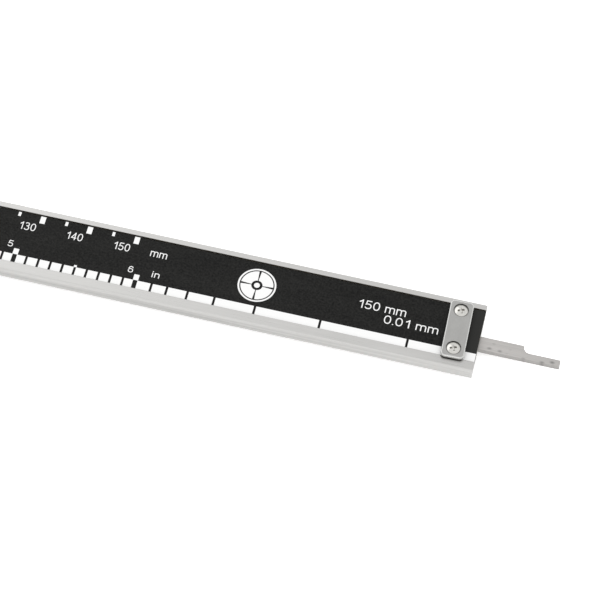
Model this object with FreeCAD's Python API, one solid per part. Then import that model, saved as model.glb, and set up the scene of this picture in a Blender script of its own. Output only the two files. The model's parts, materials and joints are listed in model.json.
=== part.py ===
"""A 150 mm digital caliper with an absolute scale, lying on its back with the display upwards.

Row frame, in millimetres: X runs along the beam and is 0 on the fixed jaw's measuring face, Y is 0 on the
beam's lower guide edge and grows towards the inside jaws, and Z is 0 on the beam's back face. The slider is
modelled with the jaws shut, at OPENING = 0, and is moved along X by OPENING when it is written.
"""

import FreeCAD
import Part
import math
import os

V = FreeCAD.Vector
PAST = 1.0  # how far a cutter reaches past the face that it opens
TINY = 1e-6

# ---- Driving dimensions: beam and jaws -----------------------------------------------------------------
OPENING = 16.7  # distance between the outside jaws as the caliper lies
BEAM_WIDTH = 16.0
BEAM_THICK = 3.2
BEAM_LEFT = -16.0
BEAM_END = 223.0
BEAM_MID_Y = BEAM_WIDTH / 2
BAR_INSET = 10.0  # the head's plate takes the bar's place over this length
FRONT_BEVEL = 0.25
BACK_BEVEL = 0.4
END_CHAMFER = 0.2
JAW_DEPTH = 40.0  # from the beam's lower edge to the tips of the outside jaws
JAW_TIP_WIDTH = 2.4
JAW_SHOULDER = (8.6, -17.0)  # where an outside jaw's slanted back meets its root curve
JAW_CURVE = (10.2, -10.6)  # the middle of the root curve
JAW_ROOT_DROP = 1.5
FIXED_JAW_ROOT = -BEAM_LEFT
MOVING_JAW_ROOT = 12.0
JAW_OVERLAP = 1.0  # how far a jaw's root runs into the bar it stands on
RELIEF_WIDTH = 1.0  # the notch in the corner between the fixed jaw and the beam
RELIEF_DEEP = 0.8
HEAD_ARC = [(-9.0, BEAM_WIDTH), (-14.0, 13.6), (BEAM_LEFT, 8.5)]  # the beam's rounded upper left corner
HEAD_RIGHT = 4.0
KNIFE_START_Y = -21.0  # below this the outside jaws are ground thin
KNIFE_LAND = 1.0
KNIFE_WIDTH = 4.5
HORN_TOP = BEAM_WIDTH + 17.0  # tips of the inside jaws
HORN_TIP_WIDTH = 1.6
HORN_ROOT_WIDTH = 8.5
HORN_SPLIT_Z = 1.6  # the two inside jaws pass each other on this plane
HORN_GAP = 0.05
HORN_LAND = 0.35
HORN_BEVEL = 3.0
HORN_CURVE = (3.4, 8.0)  # the middle of the hollow curve, above the beam
HORN_CURVE_LOW = 0.8
HORN_EDGE_LOW = 0.5  # the ground edge begins this far above the upper rail
KNIFE_PAST = 0.5

# ---- Scale strip, end stop and depth rod ---------------------------------------------------------------
LABEL_LOW_Y = 2.2
LABEL_HIGH_Y = 14.45
RECESS_LOW_Y = LABEL_LOW_Y - 0.04
RECESS_HIGH_Y = 14.7
RECESS_END_GAP = 0.1
RECESS_FLOOR = 2.4
STRIP_THICK = 0.5
LABEL_THICK = 0.1
LABEL_LEFT = 2.1
LABEL_RIGHT = BEAM_END - 0.04
LABEL_TOP = RECESS_FLOOR + STRIP_THICK + LABEL_THICK
LABEL_HOLE_R = 1.1
STOP_WIDTH = 4.8
STOP_LENGTH = 13.3
STOP_THICK = 1.0
STOP_CORNER_R = 0.9
STOP_RIM_R = 0.3
STOP_FOOT_HIGH = 0.35  # the plate stands on a smaller foot, so that its rim is clear of the beam
STOP_FOOT_INSET = 0.55
STOP_TILT = 1.3  # degrees; the plate and its screws stand a little askew on the beam
STOP_X = 218.15
STOP_Y = 8.35
STOP_SCREW_PITCH = 9.0
STOP_HOLE_R = 1.0
STOP_BORE_R = 1.56
STOP_BORE_DEPTH = 0.6
STOP_HEAD_R = 1.36
STOP_HEAD_HIGH = 0.66
STOP_DOME_R = 3.2  # radius of the ball that rounds a head's top
STOP_SCREW_TIP = 0.3
ROD_WIDTH = 3.0
ROD_THICK = 1.2
ROD_LOW_Y = BEAM_MID_Y - ROD_WIDTH / 2
ROD_BACK = 0.05
ROD_START = 22.0
ROD_TIP_LENGTH = 8.0  # the narrow step at the rod's tip
ROD_TIP_WIDTH = 1.45
ROD_SHOULDER_R = 1.3
ROD_CORNER_R = 0.3
ROD_SCREW_XS = [26.5, 33.5]
ROD_TAP_R = 0.52
ROD_TAP_DEPTH = 1.0
GROOVE_START = 18.0
GROOVE_DEPTH = 1.35
GROOVE_GAP = 0.08

# ---- Slider frame --------------------------------------------------------------------------------------
SLIDE_GAP = 0.03
RAIL_LOW_Y = -4.5
RAIL_RIGHT = 60.0
LOW_RAIL_RIGHT = 45.5
UPPER_RAIL_Y = 16.5
UPPER_RAIL_TOP = 21.0
BRIDGE_BACK = 3.3
BRIDGE_FRONT = 4.8
BRIDGE_WIDTH = 6.0
RIGHT_BRIDGE_X = 55.0
RIGHT_BRIDGE_LOW = 0.2
PLATE_TAP_DEPTH = 2.6
HORN_CLEAR_X = 9.2  # the upper rail is only half as thick up to here, to pass the fixed inside jaw
BACK_PLATE_BACK = -1.2
BACK_PLATE_FRONT = -0.03
LUG_R = 2.0
SCREW_R = 0.8
THREAD_GAP = 0.03
BACK_SCREW_PLACES = [(14.0, 18.8), (50.0, 18.8), (14.0, -2.3), (33.0, -2.3)]
BACK_SCREW_HEAD_R = 1.7
BACK_SCREW_HEAD = 0.85
BACK_SCREW_TIP = 2.4
ROD_SCREW_R = 0.5
ROD_SCREW_HEAD_R = 1.15
ROD_SCREW_HEAD = 0.6
ROD_SCREW_TIP = 0.95
SINK_GAP = 0.05

# ---- Housing -------------------------------------------------------------------------------------------
CASE_LEFT = 6.2
CASE_RIGHT = 64.2
CASE_LOW = -8.5
CASE_HIGH = 25.5
CASE_BACK = -0.9
CASE_FRONT = 10.2
CASE_WALL = 1.5
CASE_CORNER_R = 3.5
CASE_RIM_R = 1.1
FIT = 0.1  # room round a fixed part
ROOM = 0.4  # room round a moving part
BELOW = -5.0  # where the cutters that open the case from behind begin
JAW_WAY_RIGHT = 12.3
GIB_WAY_R = 1.1
PLATE_EDGE_GAP = 0.15
GRIP_XS = [22.0 + 1.7 * k for k in range(9)]
GRIP_RIB = (0.7, 0.3, 1.6, 8.0)  # a grip rib's width and height, and its ends along Z
INNER_FRONT = CASE_FRONT - CASE_WALL
UPPER_POSTS = [(9.9, 22.0), (60.0, 22.0)]
LOWER_POSTS = [(9.9, -4.8), (37.5, -4.8)]
POSTS = UPPER_POSTS + LOWER_POSTS
POST_R = 1.65
POST_HOLE_R = 0.85
POST_HEAD_R = 1.5
POST_HEAD_HIGH = 0.7
POST_HEAD_GAP = 0.15
POST_SHANK_R = 0.6
POST_PILOT_R = 0.62
POST_SCREW_TIP = 6.8
POST_PILOT_TIP = INNER_FRONT - 0.8
POST_FOOT_GAP = 0.05
FACE_LEFT = 7.7
FACE_RIGHT = 41.8
FACE_LOW = -6.8
FACE_HIGH = 23.8
FACE_BACK = 10.0
FACE_FRONT = 10.3
FACE_CORNER_R = 1.5
FACE_GAP = 0.08
WINDOW = (10.2, 40.6, 6.4, 20.0)  # lens outline: x from, x to, y from, y to
WINDOW_BACK = 9.2
WINDOW_CORNER_R = 1.0
WINDOW_GAP = 0.06
VIEW = (11.8, 39.0, 8.0, 18.4)  # opening behind the lens
VIEW_CORNER_R = 0.8
FACE_VIEW = (11.0, 39.8, 7.2, 19.2)
BUTTON_XS = {"power": 14.2, "zero": 25.4, "mode": 36.6}
BUTTON_Y = 0.2
BUTTON_LENGTH = 9.0
BUTTON_HEIGHT = 5.0
BUTTON_TOP = 11.0
BUTTON_BACK = 8.4
BUTTON_RIM_R = 0.35
BUTTON_GAP = 0.2
BUTTON_FLANGE = (1.6, 1.4, 7.9, 8.62)  # how much longer and wider than the cap, its back, its front
BUTTON_STEM_R = 1.2
BUTTON_TRAVEL = 0.4
DOME_R = 2.0
DOME_TOP_R = 1.0
DOME_HIGH = 0.45

# ---- Electronics ---------------------------------------------------------------------------------------
BOARD = (8.0, 54.6, -4.4, 20.9)
BOARD_BACK = 3.35
BOARD_FRONT = 4.15
BOARD_NOTCH_GAP = 0.25
LCD = (10.6, 40.2, 5.8, 20.2)
LCD_BACK = 6.1
LCD_FRONT = 8.1
CARRIER_WALL = 0.9
CARRIER_GAP = 0.05
LAYER_GAP = 0.02
BATTERY_X = 52.5
BATTERY_Y = 8.5
BATTERY_R = 10.0
BATTERY_THICK = 3.2
BATTERY_BACK = 5.4
COVER_LEFT = 42.4
COVER_LOW = -2.9
COVER_HIGH = 19.9
COVER_BACK = 8.75
COVER_GAP = 0.12
COVER_RIB_XS = [56.2, 57.5, 58.8]
COVER_RIB = (0.5, 10.0, 0.3)  # a rib's width, length and height
COVER_ARROW = (61.7, 1.4, 2.6, 0.25)  # the engraved arrow's tip, length, width and depth
TONGUE_WIDE = 0.75
TONGUE_BACK = 9.0
TONGUE_FRONT = 9.55
TONGUE_GAP = 0.05
TONGUE_RIGHT = CASE_RIGHT - 1.6
HOLDER_WALL = 0.63
HOLDER_GAP = 0.12
HOLDER_FRONT = 8.5
HOLDER_LEFT = 41.5
HOLDER_ENTRY = 4.0  # half the width of the holder's mouth
CONTACT_THICK = 0.2
CONTACT_LOW = 7.0
CONTACT_HIGH = 10.0
CONTACT_FOOT = (46.0, 49.0)
CONTACT_TIP_X = 53.6
CONTACT_TIP_Z = 5.15
RIM_CONTACT = (50.0, 54.0, 8.2)  # from x, to x, top
RIM_CONTACT_FOOT = 1.6
PORT_X = 51.0
PORT_WIDTH = 9.0
PORT_BACK = 5.2
PORT_FRONT = 7.8
PORT_LIP = 0.8
PORT_LIP_BACK = 0.05
PORT_LIP_FRONT = 0.75
PORT_LIP_R = 0.3
PORT_PLUG_DEEP = 1.4
PORT_PLUG_GAP = 0.1
SENSOR_LEFT = 12.0
SENSOR_PITCH = 0.8
SENSOR_WIDTH = 0.5
SENSOR_COUNT = 48
SENSOR_LOW = 3.0
SENSOR_HIGH = 13.6

# ---- Thumb roller and lock screw -----------------------------------------------------------------------
ROLLER_X = 52.5
ROLLER_R = 5.5
ROLLER_Y = -SLIDE_GAP - ROLLER_R
ROLLER_BACK = -0.1
ROLLER_FRONT = 3.2
ROLLER_TEETH = 44
AXLE_R = 1.0
ROLLER_ROOT_R = ROLLER_R - 0.32
ROLLER_BEVEL = 0.45
ROLLER_DISH_R = 3.4
ROLLER_DISH = 0.5
ROLLER_ROOM = 0.6
BUSH_R = 1.9
BUSH_GAP = 0.04
ARM_BACK = 3.3
ARM_FRONT = 4.3
ARM_LOW = -6.8
ARM_HIGH = -0.6
ARM_SCREW = (43.6, -2.4)
ARM_LEFT = 40.9
ARM_RIGHT = 58.0
ARM_NECK = 7.1
ARM_TAPER = 2.6
ARM_NOTCH_GAP = 0.6
ARM_TAP_BACK = 1.2
ARM_HEAD_R = 1.5
ARM_HEAD_HIGH = 0.8
RIVET_R = 0.68
RIVET_HIGH = 0.3
AXLE_HEAD = 0.6
AXLE_SLOT = 0.5
AXLE_SLOT_DEPTH = 0.35
ROLLER_WAY_GAP = 0.05
SPRING_THICK = 0.14
SPRING_X = 53.0
SPRING_HALF = 4.6
SPRING_GAP = 0.01
GIB_LOW = BEAM_WIDTH + SLIDE_GAP
GIB_HIGH = 16.38
GIB_BACK = 0.4
GIB_FRONT = 2.8
GIB_END_GAP = 3.0
GIB_SCREW_XS = [18.0, 45.5]
GIB_SCREW_SUNK = 0.3
GIB_SLOT = 0.3
GIB_SLOT_DEPTH = 0.6
LOCK_X = 26.0
LOCK_Z = HORN_SPLIT_Z
LOCK_R = 1.0
LOCK_TRAVEL = 0.2
LOCK_PAD_LOW = GIB_HIGH + LOCK_TRAVEL + 0.04
LOCK_PAD_LONG = 1.6
LOCK_KNOB_R = 2.7
LOCK_KNOB_ROOT_R = LOCK_KNOB_R - 0.22
LOCK_KNOB_TEETH = 30
LOCK_KNOB_BEVEL = 0.4
LOCK_KNOB_CROWN = 1.2  # metal left above the socket
LOCK_KNOB_LOW = 26.2
LOCK_KNOB_HIGH = 31.4


# ---- Helpers -------------------------------------------------------------------------------------------
def block(x0, x1, y0, y1, z0, z1):
    return Part.makeBox(x1 - x0, y1 - y0, z1 - z0, V(x0, y0, z0))


def rod_z(x, y, radius, z0, z1):
    return Part.makeCylinder(radius, z1 - z0, V(x, y, z0))


def rod_y(x, z, radius, y0, y1):
    return Part.makeCylinder(radius, y1 - y0, V(x, y0, z), V(0, 1, 0))


def outline(points):
    """A closed wire in a Z plane. A point is (x, y); ("arc", (mx, my), (x, y)) is an arc through m."""
    edges = []
    here = points[0]
    for step in list(points[1:]) + [points[0]]:
        if step[0] == "arc":
            middle, there = step[1], step[2]
            edges.append(Part.Arc(V(*here, 0), V(*middle, 0), V(*there, 0)).toShape())
            here = there
        elif step != here:
            edges.append(Part.LineSegment(V(*here, 0), V(*step, 0)).toShape())
            here = step
    return Part.Wire(edges)


def slab(points, z0, z1):
    """The outline of points, extruded from z0 to z1."""
    face = Part.Face(outline(points))
    face.translate(V(0, 0, z0))
    return face.extrude(V(0, 0, z1 - z0))


def rounded(x0, x1, y0, y1, radius, z0, z1):
    """A block with its four upright edges rounded."""
    body = block(x0, x1, y0, y1, z0, z1)
    upright = [e for e in body.Edges if abs(e.tangentAt(e.FirstParameter).z) > 0.99]
    return body.makeFillet(radius, upright)


def rounded_box(x0, x1, y0, y1, radius, z0, z1, front_radius):
    """A block with rounded upright edges and a rounded rim on its front face."""
    body = rounded(x0, x1, y0, y1, radius, z0, z1)
    rim = [e for e in body.Edges if e.BoundBox.ZMin > z1 - 1e-6]
    return body.makeFillet(front_radius, rim)


def wedge_along_y(profile_xz, y0, y1):
    """A prism whose section is a triangle or polygon in the XZ plane."""
    corners = [V(x, y0, z) for x, z in profile_xz]
    face = Part.Face(Part.makePolygon(corners + [corners[0]]))
    return face.extrude(V(0, y1 - y0, 0))


def joined(shapes):
    body = shapes[0]
    for other in shapes[1:]:
        body = body.fuse(other)
    return body.removeSplitter()


def without(body, tools):
    for tool in tools:
        body = body.cut(tool)
    return body


def cross_recess(x, y, z_top, depth=0.4, reach=0.9, bar=0.32):
    """The cutter for a cross recess in a screw head that faces +Z."""
    return joined(
        [
            block(x - reach, x + reach, y - bar / 2, y + bar / 2, z_top - depth, z_top + 1),
            block(x - bar / 2, x + bar / 2, y - reach, y + reach, z_top - depth, z_top + 1),
        ]
    )


def tapered_cross(x, y, z_top, reach=0.82, bar=0.42, depth=0.6):
    """The cutter for a cross recess whose arms run in to a point, as a driver's tip does."""
    toe_share, turn = 0.35, 20
    toe = reach * toe_share
    front = z_top + PAST
    lift = (reach - toe) * PAST / depth
    arm = [(x - toe, z_top - depth), (x + toe, z_top - depth), (x + reach + lift, front)]
    arm.append((x - reach - lift, front))
    along_x = wedge_along_y(arm, y - bar / 2, y + bar / 2)
    along_y = along_x.copy()
    along_y.rotate(V(x, y, 0), V(0, 0, 1), 90)
    cross = joined([along_x, along_y])
    cross.rotate(V(x, y, 0), V(0, 0, 1), turn)
    return cross


def back_screw(x, y, head_back, head_r, head_thick, shank_r, tip_z):
    """A countersunk cross-head screw that is driven from the back, towards +Z."""
    cross_depth, cross_share, cross_bar = 0.35, 0.6, 0.28
    head = Part.makeCone(head_r, shank_r, head_thick, V(x, y, head_back))
    shank = rod_z(x, y, shank_r, head_back + head_thick, tip_z)
    cross = cross_recess(x, y, 0, cross_depth, head_r * cross_share, cross_bar)
    cross.rotate(V(x, y, 0), V(1, 0, 0), 180)
    cross.translate(V(0, 0, head_back))
    return joined([head, shank]).cut(cross)


# ---- Beam ----------------------------------------------------------------------------------------------
def beam_bar():
    """The bar's section has bevelled long edges, larger at the back; it is extruded along X."""
    left = BEAM_LEFT + BAR_INSET
    b, f = BACK_BEVEL, FRONT_BEVEL
    w, t = BEAM_WIDTH, BEAM_THICK
    section = [(b, 0), (w - b, 0), (w, b), (w, t - f), (w - f, t), (f, t), (0, t - f), (0, b)]
    corners = [V(left, y, z) for y, z in section]
    face = Part.Face(Part.makePolygon(corners + [corners[0]]))
    bar = face.extrude(V(BEAM_END - left, 0, 0))
    end_corners = [
        e for e in bar.Edges if e.BoundBox.XMin > BEAM_END - TINY and e.BoundBox.YLength < TINY
    ]
    return bar.makeChamfer(END_CHAMFER, end_corners)


def jaw_blade(side):
    """An outside jaw and its root. side is -1 for the fixed jaw, which lies left of X = 0, and 1 for the
    moving one."""
    sx, sy = JAW_SHOULDER
    cx, cy = JAW_CURVE
    rail = 0 if side < 0 else RAIL_LOW_Y
    back = FIXED_JAW_ROOT if side < 0 else MOVING_JAW_ROOT
    points = [
        (0.0, rail + JAW_OVERLAP),
        (0.0, -JAW_DEPTH),
        (side * JAW_TIP_WIDTH, -JAW_DEPTH),
        (side * sx, sy),
        ("arc", (side * cx, cy), (side * back, RAIL_LOW_Y - JAW_ROOT_DROP)),
        (side * back, rail + JAW_OVERLAP),
    ]
    return slab(points, 0, BEAM_THICK)


def jaw_knife(side):
    """The two wedges that thin an outside jaw's measuring face towards the tip."""
    middle = BEAM_THICK / 2
    front = middle + KNIFE_LAND / 2
    back = middle - KNIFE_LAND / 2
    above = BEAM_THICK + PAST
    width = side * KNIFE_WIDTH
    out = -side * KNIFE_PAST
    upper = [(0, front), (width, BEAM_THICK), (width, above), (out, above), (out, front)]
    lower = [(0, back), (width, 0), (width, -PAST), (out, -PAST), (out, back)]
    return [wedge_along_y(p, -JAW_DEPTH - PAST, KNIFE_START_Y) for p in (upper, lower)]


def horn(side, root_y, z0, z1, land_high):
    """An inside jaw: its measuring edge is at X = 0 and its body is on the given side of it."""
    cx, cy = HORN_CURVE
    root = side * HORN_ROOT_WIDTH
    points = [
        (0.0, root_y),
        (0.0, HORN_TOP),
        (side * HORN_TIP_WIDTH, HORN_TOP),
        ("arc", (side * cx, BEAM_WIDTH + cy), (root, BEAM_WIDTH + HORN_CURVE_LOW)),
        (root, root_y),
    ]
    out = -side * KNIFE_PAST
    bevel = side * HORN_BEVEL
    if land_high:
        land, far, past = z1 - HORN_LAND, z0, z0 - PAST
    else:
        land, far, past = z0 + HORN_LAND, z1, z1 + PAST
    ground = [(0, land), (bevel, far), (bevel, past), (out, past), (out, land)]
    edge = wedge_along_y(ground, UPPER_RAIL_TOP + HORN_EDGE_LOW, HORN_TOP + PAST)
    return slab(points, z0, z1).cut(edge)


def askew(x, y):
    """The place on the beam of a point given from the stop plate's centre, along its own sides."""
    c, n = math.cos(math.radians(STOP_TILT)), math.sin(math.radians(STOP_TILT))
    return STOP_X + x * c - y * n, STOP_Y + x * n + y * c


def stop_screw_places():
    half = STOP_SCREW_PITCH / 2
    return [askew(0, -half), askew(0, half)]


def main_beam():
    """The bar with its head, the fixed jaws, the scale's recess, the rod's groove and two taps."""
    arc_start, arc_middle, arc_end = HEAD_ARC
    head_low = RAIL_LOW_Y - JAW_ROOT_DROP
    head = slab(
        [
            (HEAD_RIGHT, JAW_OVERLAP),
            (HEAD_RIGHT, BEAM_WIDTH),
            arc_start,
            ("arc", arc_middle, arc_end),
            (BEAM_LEFT, head_low),
            (0.0, head_low),
            (0.0, JAW_OVERLAP),
        ],
        0,
        BEAM_THICK,
    )
    body = joined([beam_bar(), head, jaw_blade(-1), horn(1, BEAM_MID_Y, 0, HORN_SPLIT_Z - HORN_GAP, True)])
    corner_relief = block(0, RELIEF_WIDTH, -RELIEF_DEEP, RELIEF_DEEP, -PAST, BEAM_THICK + PAST)
    recess = block(
        LABEL_LEFT - RECESS_END_GAP,
        BEAM_END + PAST,
        RECESS_LOW_Y,
        RECESS_HIGH_Y,
        RECESS_FLOOR,
        BEAM_THICK + PAST,
    )
    groove = block(
        GROOVE_START,
        BEAM_END + PAST,
        ROD_LOW_Y - GROOVE_GAP,
        ROD_LOW_Y + ROD_WIDTH + GROOVE_GAP,
        -PAST,
        GROOVE_DEPTH,
    )
    taps = [rod_z(x, y, SCREW_R + THREAD_GAP, -PAST, BEAM_THICK + PAST) for x, y in stop_screw_places()]
    return without(body, jaw_knife(-1) + [corner_relief, recess, groove] + taps)


def strip_at(z0, z1):
    """A layer of the glued scale, with clearance holes for the stop screws."""
    layer = block(LABEL_LEFT, LABEL_RIGHT, LABEL_LOW_Y, LABEL_HIGH_Y, z0, z1)
    return without(layer, [rod_z(x, y, LABEL_HOLE_R, z0 - PAST, z1 + PAST) for x, y in stop_screw_places()])


def scale_strip():
    return strip_at(RECESS_FLOOR, RECESS_FLOOR + STRIP_THICK)


def scale_label():
    return strip_at(RECESS_FLOOR + STRIP_THICK, LABEL_TOP)


def end_stop_plate():
    """A plate with a rounded rim, a smaller foot under it and two counterbored holes."""
    top = BEAM_THICK + STOP_THICK
    foot_top = BEAM_THICK + STOP_FOOT_HIGH
    half_x, half_y = STOP_WIDTH / 2, STOP_LENGTH / 2
    sides = (STOP_X - half_x, STOP_X + half_x, STOP_Y - half_y, STOP_Y + half_y)
    inset = (STOP_FOOT_INSET, -STOP_FOOT_INSET) * 2
    foot_sides = [side + step for side, step in zip(sides, inset)]
    foot_corner_r = STOP_CORNER_R - STOP_FOOT_INSET
    plate = joined(
        [
            rounded_box(*sides, STOP_CORNER_R, foot_top, top, STOP_RIM_R),
            rounded(*foot_sides, foot_corner_r, BEAM_THICK, foot_top),
        ]
    )
    plate.rotate(V(STOP_X, STOP_Y, 0), V(0, 0, 1), STOP_TILT)
    bores = [rod_z(x, y, STOP_BORE_R, top - STOP_BORE_DEPTH, top + PAST) for x, y in stop_screw_places()]
    holes = [rod_z(x, y, STOP_HOLE_R, 0, top) for x, y in stop_screw_places()]
    return without(plate, bores + holes)


def end_stop_screws():
    """Screws with a domed head and a tapered cross recess."""
    seat = BEAM_THICK + STOP_THICK - STOP_BORE_DEPTH
    top = seat + STOP_HEAD_HIGH
    screws = []
    for x, y in stop_screw_places():
        ball = Part.makeSphere(STOP_DOME_R, V(x, y, top - STOP_DOME_R))
        head = rod_z(x, y, STOP_HEAD_R, seat, top).common(ball)
        shank = rod_z(x, y, SCREW_R, STOP_SCREW_TIP, seat + 0.1)
        screws.append(joined([head, shank]).cut(tapered_cross(x, y, top)))
    return Part.makeCompound(screws)


# ---- Slider: metal parts -------------------------------------------------------------------------------
def slider_frame():
    horn_back = HORN_SPLIT_Z + HORN_GAP
    rails = [
        block(0, LOW_RAIL_RIGHT, RAIL_LOW_Y, -SLIDE_GAP, 0, BEAM_THICK),
        block(HORN_CLEAR_X, RAIL_RIGHT, UPPER_RAIL_Y, UPPER_RAIL_TOP, 0, BEAM_THICK),
        block(-HORN_ROOT_WIDTH, HORN_CLEAR_X, UPPER_RAIL_Y, UPPER_RAIL_TOP, horn_back, BEAM_THICK),
    ]
    left_bridge = [
        block(0, BRIDGE_WIDTH, RAIL_LOW_Y, -SLIDE_GAP, 0, BRIDGE_FRONT),
        block(0, BRIDGE_WIDTH, RAIL_LOW_Y, UPPER_RAIL_TOP, BRIDGE_BACK, BRIDGE_FRONT),
        block(0, BRIDGE_WIDTH, UPPER_RAIL_Y, UPPER_RAIL_TOP, horn_back, BRIDGE_FRONT),
    ]
    right_bridge = [
        block(RIGHT_BRIDGE_X, RAIL_RIGHT, UPPER_RAIL_Y, UPPER_RAIL_TOP, 0, BRIDGE_FRONT),
        block(RIGHT_BRIDGE_X, RAIL_RIGHT, RIGHT_BRIDGE_LOW, UPPER_RAIL_TOP, BRIDGE_BACK, BRIDGE_FRONT),
    ]
    lugs = [rod_z(*POSTS[0], LUG_R, horn_back, BEAM_THICK)]
    lugs += [rod_z(x, y, LUG_R, 0, BEAM_THICK) for x, y in POSTS[1:]]
    moving_horn = horn(-1, UPPER_RAIL_Y, horn_back, BEAM_THICK, False)
    body = joined(rails + left_bridge + right_bridge + lugs + [jaw_blade(1), moving_horn])
    thread_r = SCREW_R + THREAD_GAP
    low, high = UPPER_RAIL_Y - PAST, UPPER_RAIL_TOP + PAST
    side_taps = [rod_y(LOCK_X, LOCK_Z, LOCK_R + THREAD_GAP, low, high)]
    side_taps += [rod_y(x, LOCK_Z, thread_r, low, high) for x in GIB_SCREW_XS]
    post_holes = [rod_z(x, y, POST_HOLE_R, -PAST, BRIDGE_FRONT + PAST) for x, y in POSTS]
    plate_taps = [rod_z(x, y, thread_r, -PAST, PLATE_TAP_DEPTH) for x, y in BACK_SCREW_PLACES]
    arm_tap = rod_z(*ARM_SCREW, thread_r, ARM_TAP_BACK, BEAM_THICK + PAST)
    head_pocket = rod_z(*POSTS[0], POST_HEAD_R + POST_HEAD_GAP, -PAST, horn_back)
    return without(body, jaw_knife(1) + side_taps + post_holes + plate_taps + [arm_tap, head_pocket])


def sink_and_hole(x, y, head_r, head_high, shank_r):
    """The cutter for a countersunk screw in the back plate."""
    sink = Part.makeCone(head_r + SINK_GAP, shank_r + SINK_GAP, head_high, V(x, y, BACK_PLATE_BACK))
    return joined([sink, rod_z(x, y, shank_r + SINK_GAP, BACK_PLATE_BACK - PAST, PAST)])


def slider_back_plate():
    gap = CASE_WALL + PLATE_EDGE_GAP
    plate = rounded(
        CASE_LEFT + gap,
        CASE_RIGHT - gap,
        CASE_LOW + gap,
        CASE_HIGH - gap,
        CASE_CORNER_R - gap,
        BACK_PLATE_BACK,
        BACK_PLATE_FRONT,
    )
    reach = ROLLER_R + ROLLER_ROOM
    notch = block(ROLLER_X - reach, ROLLER_X + reach, CASE_LOW, ROLLER_ROOM, BELOW, PAST)
    sinks = [
        sink_and_hole(x, y, BACK_SCREW_HEAD_R, BACK_SCREW_HEAD, SCREW_R) for x, y in BACK_SCREW_PLACES
    ]
    sinks += [
        sink_and_hole(x, BEAM_MID_Y, ROD_SCREW_HEAD_R, ROD_SCREW_HEAD, ROD_SCREW_R) for x in ROD_SCREW_XS
    ]
    access = [rod_z(x, y, POST_HEAD_R + POST_HEAD_GAP, BELOW, PAST) for x, y in POSTS]
    return without(plate, [notch] + sinks + access)


def back_plate_screws():
    screws = [
        back_screw(x, y, BACK_PLATE_BACK, BACK_SCREW_HEAD_R, BACK_SCREW_HEAD, SCREW_R, BACK_SCREW_TIP)
        for x, y in BACK_SCREW_PLACES
    ]
    return Part.makeCompound(screws)


def rod_anchor_screws():
    screws = [
        back_screw(
            x, BEAM_MID_Y, BACK_PLATE_BACK, ROD_SCREW_HEAD_R, ROD_SCREW_HEAD, ROD_SCREW_R, ROD_SCREW_TIP
        )
        for x in ROD_SCREW_XS
    ]
    return Part.makeCompound(screws)


def depth_rod():
    """A flat bar whose upper half is cut away near its tip, with a hollow curve up to the shoulder."""
    high = ROD_LOW_Y + ROD_WIDTH
    low_tip = ROD_LOW_Y + ROD_TIP_WIDTH
    shoulder = BEAM_END - ROD_TIP_LENGTH
    corner, hollow = ROD_CORNER_R, ROD_SHOULDER_R
    rise = high - low_tip - corner
    start = shoulder + corner
    turned = 1 - math.sqrt(0.5)  # how far an eighth of a turn has come, as a share of the radius
    points = [
        (ROD_START, ROD_LOW_Y),
        (BEAM_END, ROD_LOW_Y),
        (BEAM_END, low_tip - corner),
        ("arc", (BEAM_END - corner * turned, low_tip - corner * turned), (BEAM_END - corner, low_tip)),
        (start + hollow, low_tip),
        ("arc", (start + hollow * turned, low_tip + rise * turned), (start, low_tip + rise)),
        ("arc", (start - corner * turned, high - corner * turned), (shoulder, high)),
        (ROD_START, high),
    ]
    blade = slab(points, ROD_BACK, ROD_BACK + ROD_THICK)
    return without(blade, [rod_z(x, BEAM_MID_Y, ROD_TAP_R, -PAST, ROD_TAP_DEPTH) for x in ROD_SCREW_XS])


def gib_strip():
    return block(HORN_CLEAR_X + ROOM, RAIL_RIGHT - GIB_END_GAP, GIB_LOW, GIB_HIGH, GIB_BACK, GIB_FRONT)


def gib_set_screws():
    """Headless screws with a driver slot in their outer end."""
    outer = UPPER_RAIL_TOP - GIB_SCREW_SUNK
    half = GIB_SLOT / 2
    screws = []
    for x in GIB_SCREW_XS:
        body = rod_y(x, LOCK_Z, SCREW_R, GIB_HIGH + LAYER_GAP, outer)
        slot = block(x - PAST, x + PAST, outer - GIB_SLOT_DEPTH, outer + PAST, LOCK_Z - half, LOCK_Z + half)
        screws.append(body.cut(slot))
    return Part.makeCompound(screws)


def roller_arm():
    points = [
        (ARM_LEFT, ARM_LOW + ARM_TAPER),
        (ARM_LEFT + ARM_NECK, ARM_LOW),
        (ARM_RIGHT, ARM_LOW),
        (ARM_RIGHT, ARM_HIGH),
        (ARM_LEFT, ARM_HIGH),
    ]
    arm = slab(points, ARM_BACK, ARM_FRONT)
    screw_hole = rod_z(*ARM_SCREW, SCREW_R + FIT, ARM_BACK - PAST, ARM_FRONT + PAST)
    rivet_hole = rod_z(ROLLER_X, ROLLER_Y, RIVET_R + LAYER_GAP, ARM_BACK - PAST, ARM_FRONT + PAST)
    return without(arm, [screw_hole, rivet_hole])


def roller_arm_screw():
    x, y = ARM_SCREW
    seat = ARM_FRONT + LAYER_GAP
    head = rod_z(x, y, ARM_HEAD_R, seat, seat + ARM_HEAD_HIGH)
    shank = rod_z(x, y, SCREW_R, ARM_TAP_BACK + FIT, seat + FIT)
    return joined([head, shank]).cut(cross_recess(x, y, seat + ARM_HEAD_HIGH))


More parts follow.
